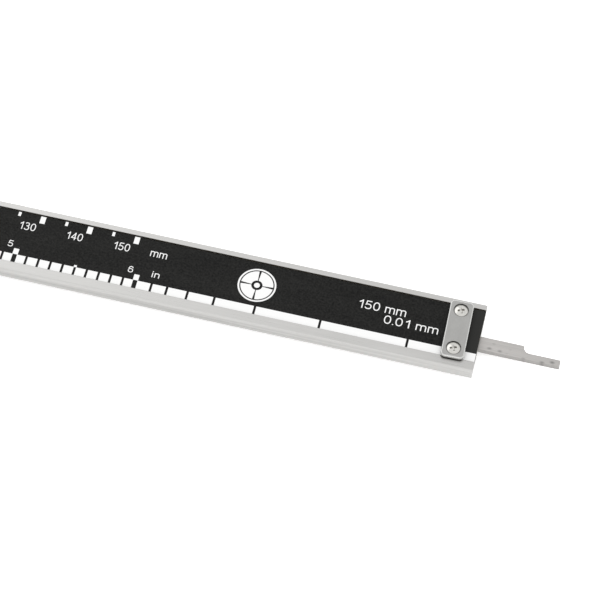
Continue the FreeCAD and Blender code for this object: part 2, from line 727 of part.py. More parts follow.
def roller_axle():
    """A shouldered pin: slotted head behind the roller, rivet through the arm."""
    x, y = ROLLER_X, ROLLER_Y
    head_front = ROLLER_BACK - LAYER_GAP * 2
    head_back = head_front - AXLE_HEAD
    head = rod_z(x, y, BUSH_R, head_back, head_front)
    shoulder = rod_z(x, y, AXLE_R, head_back + FIT, ARM_BACK - LAYER_GAP)
    rivet = rod_z(x, y, RIVET_R, ARM_BACK - LAYER_GAP - FIT, ARM_FRONT + RIVET_HIGH)
    half = AXLE_SLOT / 2
    slot = block(x - BUSH_R, x + BUSH_R, y - half, y + half, head_back - PAST, head_back + AXLE_SLOT_DEPTH)
    return joined([head, shoulder, rivet]).cut(slot)


def roller_spring():
    """A bowed leaf between the arm's lower edge and the housing's bottom wall."""
    low = CASE_LOW + CASE_WALL + SPRING_GAP
    rise = ARM_LOW - SPRING_THICK - SPRING_GAP * 2 - low
    radius = (SPRING_HALF**2 + rise**2) / (2 * rise)
    centre = V(SPRING_X, low + rise - radius, ARM_BACK)
    outer = Part.makeCylinder(radius + SPRING_THICK, ARM_FRONT - ARM_BACK, centre)
    inner = Part.makeCylinder(radius, ARM_FRONT - ARM_BACK, centre)
    keep = block(SPRING_X - SPRING_HALF, SPRING_X + SPRING_HALF, low, ARM_LOW, ARM_BACK, ARM_FRONT)
    return outer.cut(inner).common(keep)


def toothed_rim(count, root, tip, shares):
    """A closed zigzag round the origin. shares are where a tooth starts, peaks and ends, in its pitch."""
    turn = 2 * math.pi / count
    rim = []
    for tooth in range(count):
        for share, radius in shares:
            angle = (tooth + share) * turn
            reach = tip if radius == "tip" else root
            rim.append((reach * math.cos(angle), reach * math.sin(angle)))
    return rim


def bevelled_wheel(rim, radius, height, bevel):
    """The rim's outline as a wheel on the origin, with both its outer edges bevelled."""
    envelope = Part.makeCylinder(radius, height)
    edges = [e for e in envelope.Edges if len(e.Vertexes) == 1]
    return slab(rim, 0, height).common(envelope.makeChamfer(bevel, edges))


def thumb_roller():
    """The knurled wheel, with a dished front and a bore for its bush."""
    shares = ((-0.3, "root"), (-0.12, "tip"), (0.12, "tip"), (0.3, "root"))
    rim = toothed_rim(ROLLER_TEETH, ROLLER_ROOT_R, ROLLER_R, shares)
    height = ROLLER_FRONT - ROLLER_BACK
    wheel = bevelled_wheel(rim, ROLLER_R, height, ROLLER_BEVEL)
    dish = rod_z(0, 0, ROLLER_DISH_R, height - ROLLER_DISH, height + PAST)
    bore = rod_z(0, 0, BUSH_R, -PAST, height + PAST)
    wheel = without(wheel, [dish, bore])
    wheel.translate(V(ROLLER_X, ROLLER_Y, ROLLER_BACK))
    return wheel


def roller_bush():
    outer = rod_z(ROLLER_X, ROLLER_Y, BUSH_R, ROLLER_BACK, ROLLER_FRONT - ROLLER_DISH)
    return outer.cut(rod_z(ROLLER_X, ROLLER_Y, AXLE_R + BUSH_GAP, ROLLER_BACK - PAST, ROLLER_FRONT))


# ---- Slider: lock screw --------------------------------------------------------------------------------
def lock_pad():
    return rod_y(LOCK_X, LOCK_Z, LOCK_R - LAYER_GAP, LOCK_PAD_LOW, LOCK_PAD_LOW + LOCK_PAD_LONG)


def lock_screw():
    low = LOCK_PAD_LOW + LOCK_PAD_LONG + LAYER_GAP
    return rod_y(LOCK_X, LOCK_Z, LOCK_R, low, LOCK_KNOB_HIGH - LOCK_KNOB_CROWN)


def lock_knob():
    """A knurled cap, pressed onto the lock screw."""
    rim = toothed_rim(LOCK_KNOB_TEETH, LOCK_KNOB_ROOT_R, LOCK_KNOB_R, ((-0.25, "root"), (0.25, "tip")))
    height = LOCK_KNOB_HIGH - LOCK_KNOB_LOW
    knob = bevelled_wheel(rim, LOCK_KNOB_R, height, LOCK_KNOB_BEVEL)
    knob = knob.cut(Part.makeCylinder(LOCK_R, height - LOCK_KNOB_CROWN))
    knob.rotate(V(0, 0, 0), V(1, 0, 0), -90)
    knob.translate(V(LOCK_X, LOCK_KNOB_LOW, LOCK_Z))
    return knob


# ---- Housing -------------------------------------------------------------------------------------------
def stadium(x, y, length, height, z0, z1):
    """A bar with almost round ends."""
    radius = height / 2 - 0.05
    return rounded(x - length / 2, x + length / 2, y - height / 2, y + height / 2, radius, z0, z1)


def button_openings(z0, z1):
    length, height = BUTTON_LENGTH + 2 * BUTTON_GAP, BUTTON_HEIGHT + 2 * BUTTON_GAP
    return [stadium(x, BUTTON_Y, length, height, z0, z1) for x in BUTTON_XS.values()]


def housing_shell():
    """The open box of the housing, with its posts and the ribs of its thumb grip."""
    outer = rounded_box(
        CASE_LEFT, CASE_RIGHT, CASE_LOW, CASE_HIGH, CASE_CORNER_R, CASE_BACK, CASE_FRONT, CASE_RIM_R
    )
    inner = rounded(
        CASE_LEFT + CASE_WALL,
        CASE_RIGHT - CASE_WALL,
        CASE_LOW + CASE_WALL,
        CASE_HIGH - CASE_WALL,
        CASE_CORNER_R - CASE_WALL,
        CASE_BACK - PAST,
        INNER_FRONT,
    )
    into_front = INNER_FRONT + FIT
    posts = [rod_z(x, y, POST_R, BRIDGE_BACK, into_front) for x, y in LOWER_POSTS]
    posts += [rod_z(x, y, POST_R, BRIDGE_FRONT + POST_FOOT_GAP, into_front) for x, y in UPPER_POSTS]
    width, high, low_z, high_z = GRIP_RIB
    ribs = [block(x, x + width, CASE_LOW - high, CASE_LOW + FIT, low_z, high_z) for x in GRIP_XS]
    return joined([outer.cut(inner)] + posts + ribs)


def housing_ways():
    """Cutters for the frame, the moving jaw, the beam, the roller and the side screws."""
    side = (UPPER_RAIL_TOP, CASE_HIGH + PAST)
    frame_way = block(
        CASE_LEFT - PAST,
        CASE_LEFT + CASE_WALL + PAST,
        RAIL_LOW_Y - FIT,
        UPPER_RAIL_TOP + FIT,
        BELOW,
        BRIDGE_FRONT + FIT,
    )
    jaw_way = block(CASE_LEFT - PAST, JAW_WAY_RIGHT, CASE_LOW - PAST, RAIL_LOW_Y, BELOW, BEAM_THICK + FIT)
    beam_way = block(
        CASE_RIGHT - CASE_WALL - PAST, CASE_RIGHT + PAST, -ROOM, BEAM_WIDTH + ROOM, BELOW, BEAM_THICK + ROOM
    )
    reach = ROLLER_R + ROLLER_ROOM
    roller_way = block(
        ROLLER_X - reach, ROLLER_X + reach, CASE_LOW - PAST, 0, BELOW, ARM_BACK - ROLLER_WAY_GAP
    )
    screw_ways = [rod_y(LOCK_X, LOCK_Z, LOCK_R + ROOM, *side)]
    screw_ways += [rod_y(x, LOCK_Z, GIB_WAY_R, *side) for x in GIB_SCREW_XS]
    return [frame_way, jaw_way, beam_way, roller_way] + screw_ways


def housing_openings():
    """Cutters for the face plate, lens, buttons, battery hatch, data port and screw pilots."""
    above = CASE_FRONT + PAST
    gap = COVER_GAP
    right = CASE_RIGHT + PAST
    half = PORT_WIDTH / 2
    face_seat = rounded(FACE_LEFT, FACE_RIGHT, FACE_LOW, FACE_HIGH, FACE_CORNER_R, FACE_BACK, above)
    lens_seat = rounded(*WINDOW, WINDOW_CORNER_R, WINDOW_BACK, above)
    view = rounded(*VIEW, VIEW_CORNER_R, INNER_FRONT - PAST, above)
    hatch = block(COVER_LEFT - gap, right, COVER_LOW - gap, COVER_HIGH + gap, INNER_FRONT - PAST, above)
    grooves = block(
        COVER_LEFT - gap,
        right,
        COVER_LOW - TONGUE_WIDE - gap,
        COVER_HIGH + TONGUE_WIDE + gap,
        TONGUE_BACK - TONGUE_GAP,
        TONGUE_FRONT + TONGUE_GAP * 2,
    )
    port = block(
        PORT_X - half, PORT_X + half, CASE_HIGH - CASE_WALL - PAST, CASE_HIGH + PAST, PORT_BACK, PORT_FRONT
    )
    pilots = [rod_z(x, y, POST_PILOT_R, BRIDGE_BACK - PAST, POST_PILOT_TIP) for x, y in POSTS]
    buttons = button_openings(INNER_FRONT - PAST, above)
    return [face_seat, lens_seat, view, hatch, grooves, port] + pilots + buttons


def front_housing():
    return without(housing_shell(), housing_ways() + housing_openings())


def housing_screws():
    """Pan-head screws from the back, through the frame's lugs into the housing's posts."""
    screws = []
    for x, y in POSTS:
        seat = HORN_SPLIT_Z + HORN_GAP if (x, y) == POSTS[0] else 0
        head_front = seat - LAYER_GAP
        head_back = head_front - POST_HEAD_HIGH
        head = rod_z(x, y, POST_HEAD_R, head_back, head_front)
        shank = rod_z(x, y, POST_SHANK_R, head_front - FIT, POST_SCREW_TIP)
        cross = cross_recess(x, y, 0)
        cross.rotate(V(x, y, 0), V(1, 0, 0), 180)
        cross.translate(V(0, 0, head_back))
        screws.append(joined([head, shank]).cut(cross))
    return Part.makeCompound(screws)


def face_plate():
    gap = FACE_GAP
    plate = rounded(
        FACE_LEFT + gap,
        FACE_RIGHT - gap,
        FACE_LOW + gap,
        FACE_HIGH - gap,
        FACE_CORNER_R - gap,
        FACE_BACK,
        FACE_FRONT,
    )
    view = rounded(*FACE_VIEW, WINDOW_CORNER_R, FACE_BACK - PAST, FACE_FRONT + PAST)
    return without(plate, [view] + button_openings(FACE_BACK - PAST, FACE_FRONT + PAST))


def display_window():
    x0, x1, y0, y1 = WINDOW
    gap = WINDOW_GAP
    return rounded(x0 + gap, x1 - gap, y0 + gap, y1 - gap, WINDOW_CORNER_R - gap, WINDOW_BACK, FACE_BACK)


def button(name):
    """A cap with a rounded rim, a flange that keeps it in the housing, and a stem."""
    x = BUTTON_XS[name]
    cap = stadium(x, BUTTON_Y, BUTTON_LENGTH, BUTTON_HEIGHT, BUTTON_BACK, BUTTON_TOP)
    cap = cap.makeFillet(BUTTON_RIM_R, [e for e in cap.Edges if e.BoundBox.ZMin > BUTTON_TOP - TINY])
    longer, wider, back, front = BUTTON_FLANGE
    flange = stadium(x, BUTTON_Y, BUTTON_LENGTH + longer, BUTTON_HEIGHT + wider, back, front)
    pressed = BOARD_FRONT + DOME_HIGH + LAYER_GAP
    stem = rod_z(x, BUTTON_Y, BUTTON_STEM_R, pressed + BUTTON_TRAVEL, back + FIT)
    return joined([cap, flange, stem])


def dome(name):
    """The snap dome under a button; the stem meets it at the end of the button's travel."""
    return Part.makeCone(DOME_R, DOME_TOP_R, DOME_HIGH, V(BUTTON_XS[name], BUTTON_Y, BOARD_FRONT))


def battery_cover():
    """A lid with a tongue along both sides, three grip ribs and an engraved arrow."""
    lid = block(COVER_LEFT, CASE_RIGHT, COVER_LOW, COVER_HIGH, COVER_BACK, CASE_FRONT)
    tongue = block(
        COVER_LEFT, TONGUE_RIGHT, COVER_LOW - TONGUE_WIDE, COVER_HIGH + TONGUE_WIDE, TONGUE_BACK, TONGUE_FRONT
    )
    width, length, high = COVER_RIB
    ribs = [
        block(x, x + width, BATTERY_Y - length / 2, BATTERY_Y + length / 2, COVER_BACK, CASE_FRONT + high)
        for x in COVER_RIB_XS
    ]
    cover = joined([lid, tongue] + ribs)
    end = [
        e
        for e in cover.Edges
        if e.BoundBox.XMin > CASE_RIGHT - TINY and e.BoundBox.ZMin > CASE_FRONT - TINY
    ]
    cover = cover.makeFillet(CASE_RIM_R, end)
    tip, long, wide, depth = COVER_ARROW
    arrow = [(tip, BATTERY_Y), (tip - long, BATTERY_Y + wide / 2), (tip - long, BATTERY_Y - wide / 2)]
    return cover.cut(slab(arrow, CASE_FRONT - depth, CASE_FRONT + PAST))


def data_port_cover():
    """A plug that fills the port, and a lip to pull it by."""
    half = PORT_WIDTH / 2
    inside = half - PORT_PLUG_GAP
    outside = half + PORT_LIP
    plug = block(
        PORT_X - inside,
        PORT_X + inside,
        CASE_HIGH - PORT_PLUG_DEEP,
        CASE_HIGH + FIT,
        PORT_BACK + PORT_PLUG_GAP,
        PORT_FRONT - PORT_PLUG_GAP,
    )
    lip = rounded(
        PORT_X - outside,
        PORT_X + outside,
        CASE_HIGH + PORT_LIP_BACK,
        CASE_HIGH + PORT_LIP_FRONT,
        PORT_LIP_R,
        PORT_BACK - PORT_LIP,
        PORT_FRONT + PORT_LIP,
    )
    return joined([plug, lip])


# ---- Electronics ---------------------------------------------------------------------------------------
def circuit_board():
    x0, x1, y0, y1 = BOARD
    board = block(x0, x1, y0, y1, BOARD_BACK, BOARD_FRONT)
    notches = [rod_z(x, y, POST_R + BOARD_NOTCH_GAP, 0, CASE_FRONT) for x, y in POSTS]
    notches.append(block(ARM_LEFT - ARM_NOTCH_GAP, x1 + PAST, y0 - PAST, ARM_HIGH + ROOM, 0, CASE_FRONT))
    return without(board, notches)


def sensor_pads():
    """The transmitter and receiver plates on the board's back, which face the scale strip."""
    plates = []
    for k in range(SENSOR_COUNT):
        x = SENSOR_LEFT + SENSOR_PITCH * k
        plates.append(block(x, x + SENSOR_WIDTH, SENSOR_LOW, SENSOR_HIGH, BOARD_BACK - 0.05, BOARD_BACK))
    return Part.makeCompound(plates)


def processor_chip():
    """The chip under its drop of black resin."""
    foot_r, top_r, high = 3.4, 2.4, 0.9
    x, y = 25.0, 13.4
    return Part.makeCone(foot_r, top_r, high, V(x, y, BOARD_FRONT))


def timing_crystal():
    radius, length = 0.9, 5.0
    x, y = 14.0, 10.4
    return Part.makeCylinder(radius, length, V(x, y, BOARD_FRONT + radius + FIT / 2), V(0, 1, 0))


def board_capacitors():
    long, wide, high = 1.6, 0.8, 0.7
    places = [(32.7, 10.6), (32.7, 13.0), (32.7, 15.4), (17.7, 15.8), (17.7, 10.2)]
    return Part.makeCompound(
        [block(x, x + long, y, y + wide, BOARD_FRONT, BOARD_FRONT + high) for x, y in places]
    )


def zebra_connectors():
    """Two elastomer strips that join the board to the glass, along its lower and upper edge."""
    x0, x1, y0, y1 = LCD
    end, edge, wide = 1.2, 0.3, 1.3
    rows = [y0 + edge, y1 - edge - wide]
    return Part.makeCompound([block(x0 + end, x1 - end, y, y + wide, BOARD_FRONT, LCD_BACK) for y in rows])


def lcd_panel():
    return block(*LCD, LCD_BACK, LCD_FRONT)


def lcd_carrier():
    """The plastic frame that holds the glass and the two elastomer strips over the board."""
    x0, x1, y0, y1 = LCD
    wall, gap = CARRIER_WALL, CARRIER_GAP
    outer = block(x0 - wall, x1 + wall, y0 - wall, y1 + gap, BOARD_FRONT + LAYER_GAP, LCD_FRONT - FIT)
    well = block(x0 - gap, x1 + gap, y0 - gap, y1 + PAST, BOARD_FRONT - PAST, LCD_FRONT + PAST)
    return outer.cut(well)


def display_gasket():
    """A foam ring between the glass and the housing's front wall."""
    x0, x1, y0, y1 = LCD
    vx0, vx1, vy0, vy1 = VIEW
    edge, inside = 0.1, 0.2
    ring = block(
        x0 + edge, x1 - edge, y0 + edge, y1 - edge, LCD_FRONT + LAYER_GAP, INNER_FRONT - LAYER_GAP
    )
    return ring.cut(block(vx0 - inside, vx1 + inside, vy0 - inside, vy1 + inside, 0, CASE_FRONT))


def battery():
    """A coin cell: a wide can and the narrower lid behind it."""
    step, lip = 1.2, 0.7
    can = rod_z(BATTERY_X, BATTERY_Y, BATTERY_R, BATTERY_BACK + lip, BATTERY_BACK + BATTERY_THICK)
    lid = rod_z(BATTERY_X, BATTERY_Y, BATTERY_R - step, BATTERY_BACK, BATTERY_BACK + lip + FIT)
    rims = [e for e in can.Edges if len(e.Vertexes) == 1]
    return joined([can.makeFillet(0.3, rims), lid])


def battery_holder():
    """A ring round the cell, cut off by the housing's walls and open where the contact stands."""
    outer_r = BATTERY_R + HOLDER_GAP + HOLDER_WALL
    ring = rod_z(BATTERY_X, BATTERY_Y, outer_r, BRIDGE_FRONT + POST_FOOT_GAP, HOLDER_FRONT)
    well = rod_z(BATTERY_X, BATTERY_Y, BATTERY_R + HOLDER_GAP, 0, CASE_FRONT)
    inside = block(HOLDER_LEFT, CASE_RIGHT - CASE_WALL - LAYER_GAP * 2, CASE_LOW, CASE_HIGH, 0, CASE_FRONT)
    mouth = block(BATTERY_X - HOLDER_ENTRY, BATTERY_X + HOLDER_ENTRY, BATTERY_Y, CASE_HIGH, 0, CASE_FRONT)
    return ring.common(inside).cut(well).cut(mouth)


def battery_contact_negative():
    """A leaf on the board that rises to the battery's underside."""
    left, right = CONTACT_FOOT
    front = BOARD_FRONT + CONTACT_THICK
    foot = block(left, right, CONTACT_LOW, CONTACT_HIGH, BOARD_FRONT, front)
    bend = right - FIT
    tip = [(CONTACT_TIP_X, CONTACT_TIP_Z), (CONTACT_TIP_X, CONTACT_TIP_Z + CONTACT_THICK)]
    leaf = [(bend, BOARD_FRONT)] + tip + [(bend, front)]
    return joined([foot, wedge_along_y(leaf, CONTACT_LOW, CONTACT_HIGH)])


def battery_contact_positive():
    """A strip that stands beside the battery and bears on its rim."""
    x0, x1, top = RIM_CONTACT
    y = BATTERY_Y + BATTERY_R + SINK_GAP
    upright = block(x0, x1, y, y + CONTACT_THICK, BOARD_FRONT, top)
    foot = block(x0, x1, y, y + RIM_CONTACT_FOOT, BOARD_FRONT, BOARD_FRONT + CONTACT_THICK)
    return joined([upright, foot])


def data_contacts():
    """The socket behind the data port, and its four contact fingers on the board."""
    finger, pitch, thick, count = 1.0, 1.9, 0.25, 4
    finger_low, finger_high = 20.4, 23.6
    socket_low, socket_high = 21.1, 23.8
    half, wall, gap, back_wall = 4.2, 0.4, 0.05, 0.9
    fingers = []
    for k in range(count):
        x = PORT_X - (pitch * (count - 1) + finger) / 2 + pitch * k
        fingers.append(block(x, x + finger, finger_low, finger_high, BOARD_FRONT, BOARD_FRONT + thick))
    left, right, front = PORT_X - half, PORT_X + half, PORT_FRONT - 0.2
    socket = block(left, right, socket_low, socket_high, BOARD_FRONT + thick + gap, front)
    mouth = block(left + wall, right - wall, socket_low + back_wall, CASE_HIGH, PORT_BACK, front - wall)
    return Part.makeCompound([socket.cut(mouth)] + fingers)


def dust_wipers():
    """Felt strips that wipe the scale at both ends of the slider."""
    edge, thick, rub = 0.2, 2.0, 0.06
    left_x = BRIDGE_WIDTH - PAST - thick
    left = block(
        left_x, left_x + thick, LABEL_LOW_Y + edge, LABEL_HIGH_Y - edge, LABEL_TOP + rub, BRIDGE_BACK
    )
    right = block(
        RAIL_RIGHT, RAIL_RIGHT + thick, ROLLER_ROOM, BEAM_WIDTH - ROLLER_ROOM, BEAM_THICK + rub, BRIDGE_FRONT
    )
    return Part.makeCompound([left, right])


# ---- What is written -----------------------------------------------------------------------------------
BEAM_NODES = {
    "main_beam": main_beam,
    "scale_strip": scale_strip,
    "scale_label": scale_label,
    "end_stop_plate": end_stop_plate,
    "end_stop_screws": end_stop_screws,
}
SLIDER_NODES = {
    "slider_frame": slider_frame,
    "slider_back_plate": slider_back_plate,
    "back_plate_screws": back_plate_screws,
    "depth_rod": depth_rod,
    "rod_anchor_screws": rod_anchor_screws,
    "gib_strip": gib_strip,
    "gib_set_screws": gib_set_screws,
    "roller_arm": roller_arm,
    "roller_arm_screw": roller_arm_screw,
    "roller_axle": roller_axle,
    "roller_spring": roller_spring,
    "thumb_roller": thumb_roller,
    "roller_bush": roller_bush,
    "lock_pad": lock_pad,
    "lock_screw": lock_screw,
    "lock_knob": lock_knob,
    "front_housing": front_housing,
    "housing_screws": housing_screws,
    "face_plate": face_plate,
    "display_window": display_window,
    "battery_cover": battery_cover,
    "data_port_cover": data_port_cover,
    "circuit_board": circuit_board,
    "sensor_pads": sensor_pads,
    "processor_chip": processor_chip,
    "timing_crystal": timing_crystal,
    "board_capacitors": board_capacitors,
    "zebra_connectors": zebra_connectors,
    "lcd_panel": lcd_panel,
    "lcd_carrier": lcd_carrier,
    "display_gasket": display_gasket,
    "battery": battery,
    "battery_holder": battery_holder,
    "battery_contact_negative": battery_contact_negative,
    "battery_contact_positive": battery_contact_positive,
    "data_contacts": data_contacts,
    "dust_wipers": dust_wipers,
}


def write(name, shape):
    if not shape.isValid():
        raise ValueError(name + " is not a valid shape")
    shape.exportStep(os.path.join("parts", name + ".step"))
    print(name, len(shape.Solids), "solids", round(shape.Volume, 2), "mm3")


def main():
    os.makedirs("parts", exist_ok=True)
    for name, make in BEAM_NODES.items():
        write(name, make())
    slid = {name: make() for name, make in SLIDER_NODES.items()}
    for label in BUTTON_XS:
        slid[label + "_button"] = button(label)
        slid[label + "_dome"] = dome(label)
    for name, shape in slid.items():
        shape.translate(V(OPENING, 0, 0))
        write(name, shape)


main()
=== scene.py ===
"""Looks of a 150 mm digital caliper lying on its back: materials, printed scale, display and small details.

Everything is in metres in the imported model's own frame: X along the beam from the fixed jaw's measuring face,
Y across the beam from its lower guide edge, Z up from the beam's back face. Sizes in this file are written in
millimetres and multiplied by MM where they are used.
"""

import bmesh
import bpy
import json
import math
from mathutils import Matrix, Vector


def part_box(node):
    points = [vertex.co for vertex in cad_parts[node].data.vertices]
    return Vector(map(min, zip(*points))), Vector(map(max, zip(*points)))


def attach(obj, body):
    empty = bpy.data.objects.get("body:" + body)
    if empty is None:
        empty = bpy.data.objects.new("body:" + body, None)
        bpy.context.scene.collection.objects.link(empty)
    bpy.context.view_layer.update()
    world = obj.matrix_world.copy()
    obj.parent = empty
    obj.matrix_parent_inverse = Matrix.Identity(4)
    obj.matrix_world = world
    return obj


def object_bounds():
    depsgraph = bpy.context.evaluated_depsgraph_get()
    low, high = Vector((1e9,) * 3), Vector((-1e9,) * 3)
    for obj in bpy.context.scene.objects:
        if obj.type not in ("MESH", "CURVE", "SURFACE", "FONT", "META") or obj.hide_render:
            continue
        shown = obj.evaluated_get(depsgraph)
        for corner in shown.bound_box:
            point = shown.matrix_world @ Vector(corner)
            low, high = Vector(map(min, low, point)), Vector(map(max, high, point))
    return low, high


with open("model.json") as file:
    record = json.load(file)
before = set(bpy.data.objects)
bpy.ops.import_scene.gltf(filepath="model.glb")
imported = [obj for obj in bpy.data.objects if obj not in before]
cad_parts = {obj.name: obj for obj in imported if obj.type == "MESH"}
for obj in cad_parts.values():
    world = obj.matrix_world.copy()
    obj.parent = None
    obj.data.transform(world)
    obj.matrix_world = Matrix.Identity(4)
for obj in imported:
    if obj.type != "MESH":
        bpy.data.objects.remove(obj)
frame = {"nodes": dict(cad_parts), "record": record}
cad_low, cad_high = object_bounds()

MM = 0.001
INCH = 25.4
NODES = frame["nodes"]


def box_mm(node):
    """A CAD node's lowest and highest corner, in millimetres."""
    low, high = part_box(node)
    return Vector(low) / MM, Vector(high) / MM


BEAM_HIGH = box_mm("main_beam")[1]
LABEL_LOW, LABEL_HIGH = box_mm("scale_label")
LCD_HIGH = box_mm("lcd_panel")[1]
FACE_HIGH = box_mm("face_plate")[1]
WINDOW_LOW, WINDOW_HIGH = box_mm("display_window")
BATTERY_LOW, BATTERY_HIGH = box_mm("battery")


# ---- Material helpers ----------------------------------------------------------------------------------
class Look:
    """A material with a Principled shader, and short ways to feed its inputs."""

    def __init__(self, name):
        self.material = bpy.data.materials.new(name)
        self.material.use_nodes = True
        self.tree = self.material.node_tree
        self.tree.nodes.clear()
        self.shader = self.add("ShaderNodeBsdfPrincipled")
        output = self.add("ShaderNodeOutputMaterial")
        self.link(self.shader.outputs["BSDF"], output.inputs["Surface"])
        self.where = self.add("ShaderNodeTexCoord").outputs["Object"]

    def add(self, kind):
        return self.tree.nodes.new(kind)

    def link(self, source, target):
        self.tree.links.new(source, target)

    def set(self, **inputs):
        for name, value in inputs.items():
            self.shader.inputs[name.replace("_", " ").title().replace("Ior", "IOR")].default_value = value
        return self

    def stretched(self, per_mm, turn=(0, 0, 0)):
        """Object coordinates in millimetres, times per_mm along X, Y and Z."""
        mapping = self.add("ShaderNodeMapping")
        mapping.inputs["Scale"].default_value = [v / MM for v in per_mm]
        mapping.inputs["Rotation"].default_value = [math.radians(v) for v in turn]
        self.link(self.where, mapping.inputs["Vector"])
        return mapping.outputs["Vector"]

    def noise(self, per_mm, detail=2.0, roughness=0.5, turn=(0, 0, 0)):
        node = self.add("ShaderNodeTexNoise")
        node.inputs["Scale"].default_value = 1.0
        node.inputs["Detail"].default_value = detail
        node.inputs["Roughness"].default_value = roughness
        self.link(self.stretched(per_mm, turn), node.inputs["Vector"])
        return node.outputs["Fac"]

    def cells(self, per_mm, feature="F1"):
        node = self.add("ShaderNodeTexVoronoi")
        node.feature = feature
        node.inputs["Scale"].default_value = 1.0
        self.link(self.stretched(per_mm), node.inputs["Vector"])
        return node.outputs["Distance"]

    def spread(self, value, low, high, start=0.3, stop=0.7):
        """Maps value from start..stop to low..high."""
        node = self.add("ShaderNodeMapRange")
        node.inputs["From Min"].default_value = start
        node.inputs["From Max"].default_value = stop
        node.inputs["To Min"].default_value = low
        node.inputs["To Max"].default_value = high
        self.link(value, node.inputs["Value"])
        return node.outputs["Result"]

    def sum(self, first, second, share=1.0):
        node = self.add("ShaderNodeMath")
        node.operation = "MULTIPLY_ADD"
        self.link(second, node.inputs[0])
        node.inputs[1].default_value = share
        self.link(first, node.inputs[2])
        return node.outputs["Value"]

    def product(self, first, second):
        node = self.add("ShaderNodeMath")
        node.operation = "MULTIPLY"
        self.link(first, node.inputs[0])
        self.link(second, node.inputs[1])
        return node.outputs["Value"]

    def tint(self, value, dark, light, start=0.3, stop=0.7):
        """A colour between dark and light that follows value."""
        node = self.add("ShaderNodeValToRGB")
        node.color_ramp.elements[0].position = start
        node.color_ramp.elements[1].position = stop
        node.color_ramp.elements[0].color = (*dark, 1)
        node.color_ramp.elements[1].color = (*light, 1)
        self.link(value, node.inputs["Fac"])
        return node.outputs["Color"]

    def mixed(self, value, first, second):
        """The colour first, turning to second as value goes from 0 to 1; each is an output or an RGB."""
        node = self.add("ShaderNodeMix")
        node.data_type = "RGBA"
        share, start, end = (s for s in node.inputs if s.enabled)
        self.link(value, share)
        for source, target in ((first, start), (second, end)):
            if isinstance(source, tuple):
                target.default_value = (*source, 1)
            else:
                self.link(source, target)
        return next(s for s in node.outputs if s.enabled)

    def upward(self):
        """1 on a face that points up or down, 0 on an upright one."""
        apart = self.add("ShaderNodeSeparateXYZ")
        self.link(self.add("ShaderNodeTexCoord").outputs["Normal"], apart.inputs["Vector"])
        size = self.add("ShaderNodeMath")
        size.operation = "ABSOLUTE"
        self.link(apart.outputs["Z"], size.inputs[0])
        return size.outputs["Value"]

    def soiled(self, colour, reach_mm, dark):
        """The colour with painted shade, turning dark in corners and recesses narrower than reach_mm."""
        hidden = self.add("ShaderNodeAmbientOcclusion")
        hidden.samples = 6
        hidden.inputs["Distance"].default_value = reach_mm * MM
        openness = self.spread(hidden.outputs["AO"], 0.0, 1.0, 0.15, 0.75)
        return self.mixed(openness, dark, colour)

    def colour(self, output):
        self.link(output, self.shader.inputs["Base Color"])
        return self

    def rough(self, output):
        self.link(output, self.shader.inputs["Roughness"])
        return self

    def bump(self, height, depth_mm, strength=0.5, edge_mm=0.12):
        """Fine relief, over edges that are softened to a radius of edge_mm."""
        node = self.add("ShaderNodeBump")
        if edge_mm:
            edges = self.add("ShaderNodeBevel")
            edges.samples = 4
            edges.inputs["Radius"].default_value = edge_mm * MM
            self.link(edges.outputs["Normal"], node.inputs["Normal"])
        node.inputs["Strength"].default_value = strength
        node.inputs["Distance"].default_value = depth_mm * MM
        self.link(height, node.inputs["Height"])
        self.link(node.outputs["Normal"], self.shader.inputs["Normal"])
        return self


def shade(colour, factor):
    return tuple(c * factor for c in colour)


def ground_steel(
    name, colour, grain=(0.035, 5.0, 5.0), rough=(0.24, 0.40), contrast=0.05, painted_side_shade=0.9, specks=0.0
):
    """Steel ground in one direction: fine lines, cloudy handling marks, more streaked upright sides that are
    darker by painted shade, painted shade in narrow gaps and, if asked, a few dark specks."""
    look = Look(name)
    lines = look.noise(grain, detail=5.0, roughness=0.65)
    clouds = look.noise((0.09, 0.16, 0.16), detail=3.0)
    scratches = look.noise((0.25, 9.0, 9.0), detail=1.0, turn=(0, 0, 24))
    tone = look.sum(lines, clouds, 0.6)

    def toned(factor):
        dark, light = shade(colour, factor * (1 - contrast)), shade(colour, factor * (1 + contrast))
        return look.tint(tone, dark, light, 0.6, 1.0)

    # Painted shade: upright sides get a darker colour than up-facing faces, with random streaks.
    streaks = look.sum(look.noise((0.016, 0.05, 1.0), detail=2.0), lines, 0.3)
    side = look.tint(streaks, shade(colour, painted_side_shade * 0.84), shade(colour, painted_side_shade * 1.1), 0.48, 0.82)
    # Painted shade: the up-facing colour turns dark in narrow gaps and corners.
    face = look.soiled(toned(1.0), 0.3, shade(colour, 0.12))
    plain = look.mixed(look.spread(look.upward(), 0.0, 1.0, 0.1, 0.6), side, face)
    if specks:
        spots = look.spread(look.cells((0.5, 0.8, 0.02)), 1.0, 0.0, 0.06, 0.34)
        patch = look.spread(look.noise((0.6, 0.6, 0.1), detail=3.0), 0.0, specks, 0.32, 0.46)
        plain = look.mixed(look.product(spots, patch), plain, toned(0.5))
    look.colour(plain)
    scuffs = look.sum(tone, scratches, 0.35)
    look.rough(look.spread(scuffs, rough[0], rough[1], 0.7, 1.25))
    look.bump(look.sum(lines, scratches, 0.4), 0.006, 0.35)
    return look.set(metallic=1.0)


def blasted_metal(name, colour, grit=7.0, rough=(0.34, 0.46)):
    """Bead-blasted or satin metal: an even, very fine grit with faint wiping marks."""
    look = Look(name)
    grains = look.noise((grit, grit, grit), detail=3.0, roughness=0.7)
    wipes = look.noise((0.6, 0.12, 0.4), detail=2.0)
    tone = look.sum(grains, wipes, 0.5)
    look.colour(look.tint(tone, shade(colour, 0.92), shade(colour, 1.06), 0.55, 0.95))
    look.rough(look.spread(tone, rough[0], rough[1], 0.55, 0.95))
    look.bump(grains, 0.012, 0.5)
    return look.set(metallic=1.0)


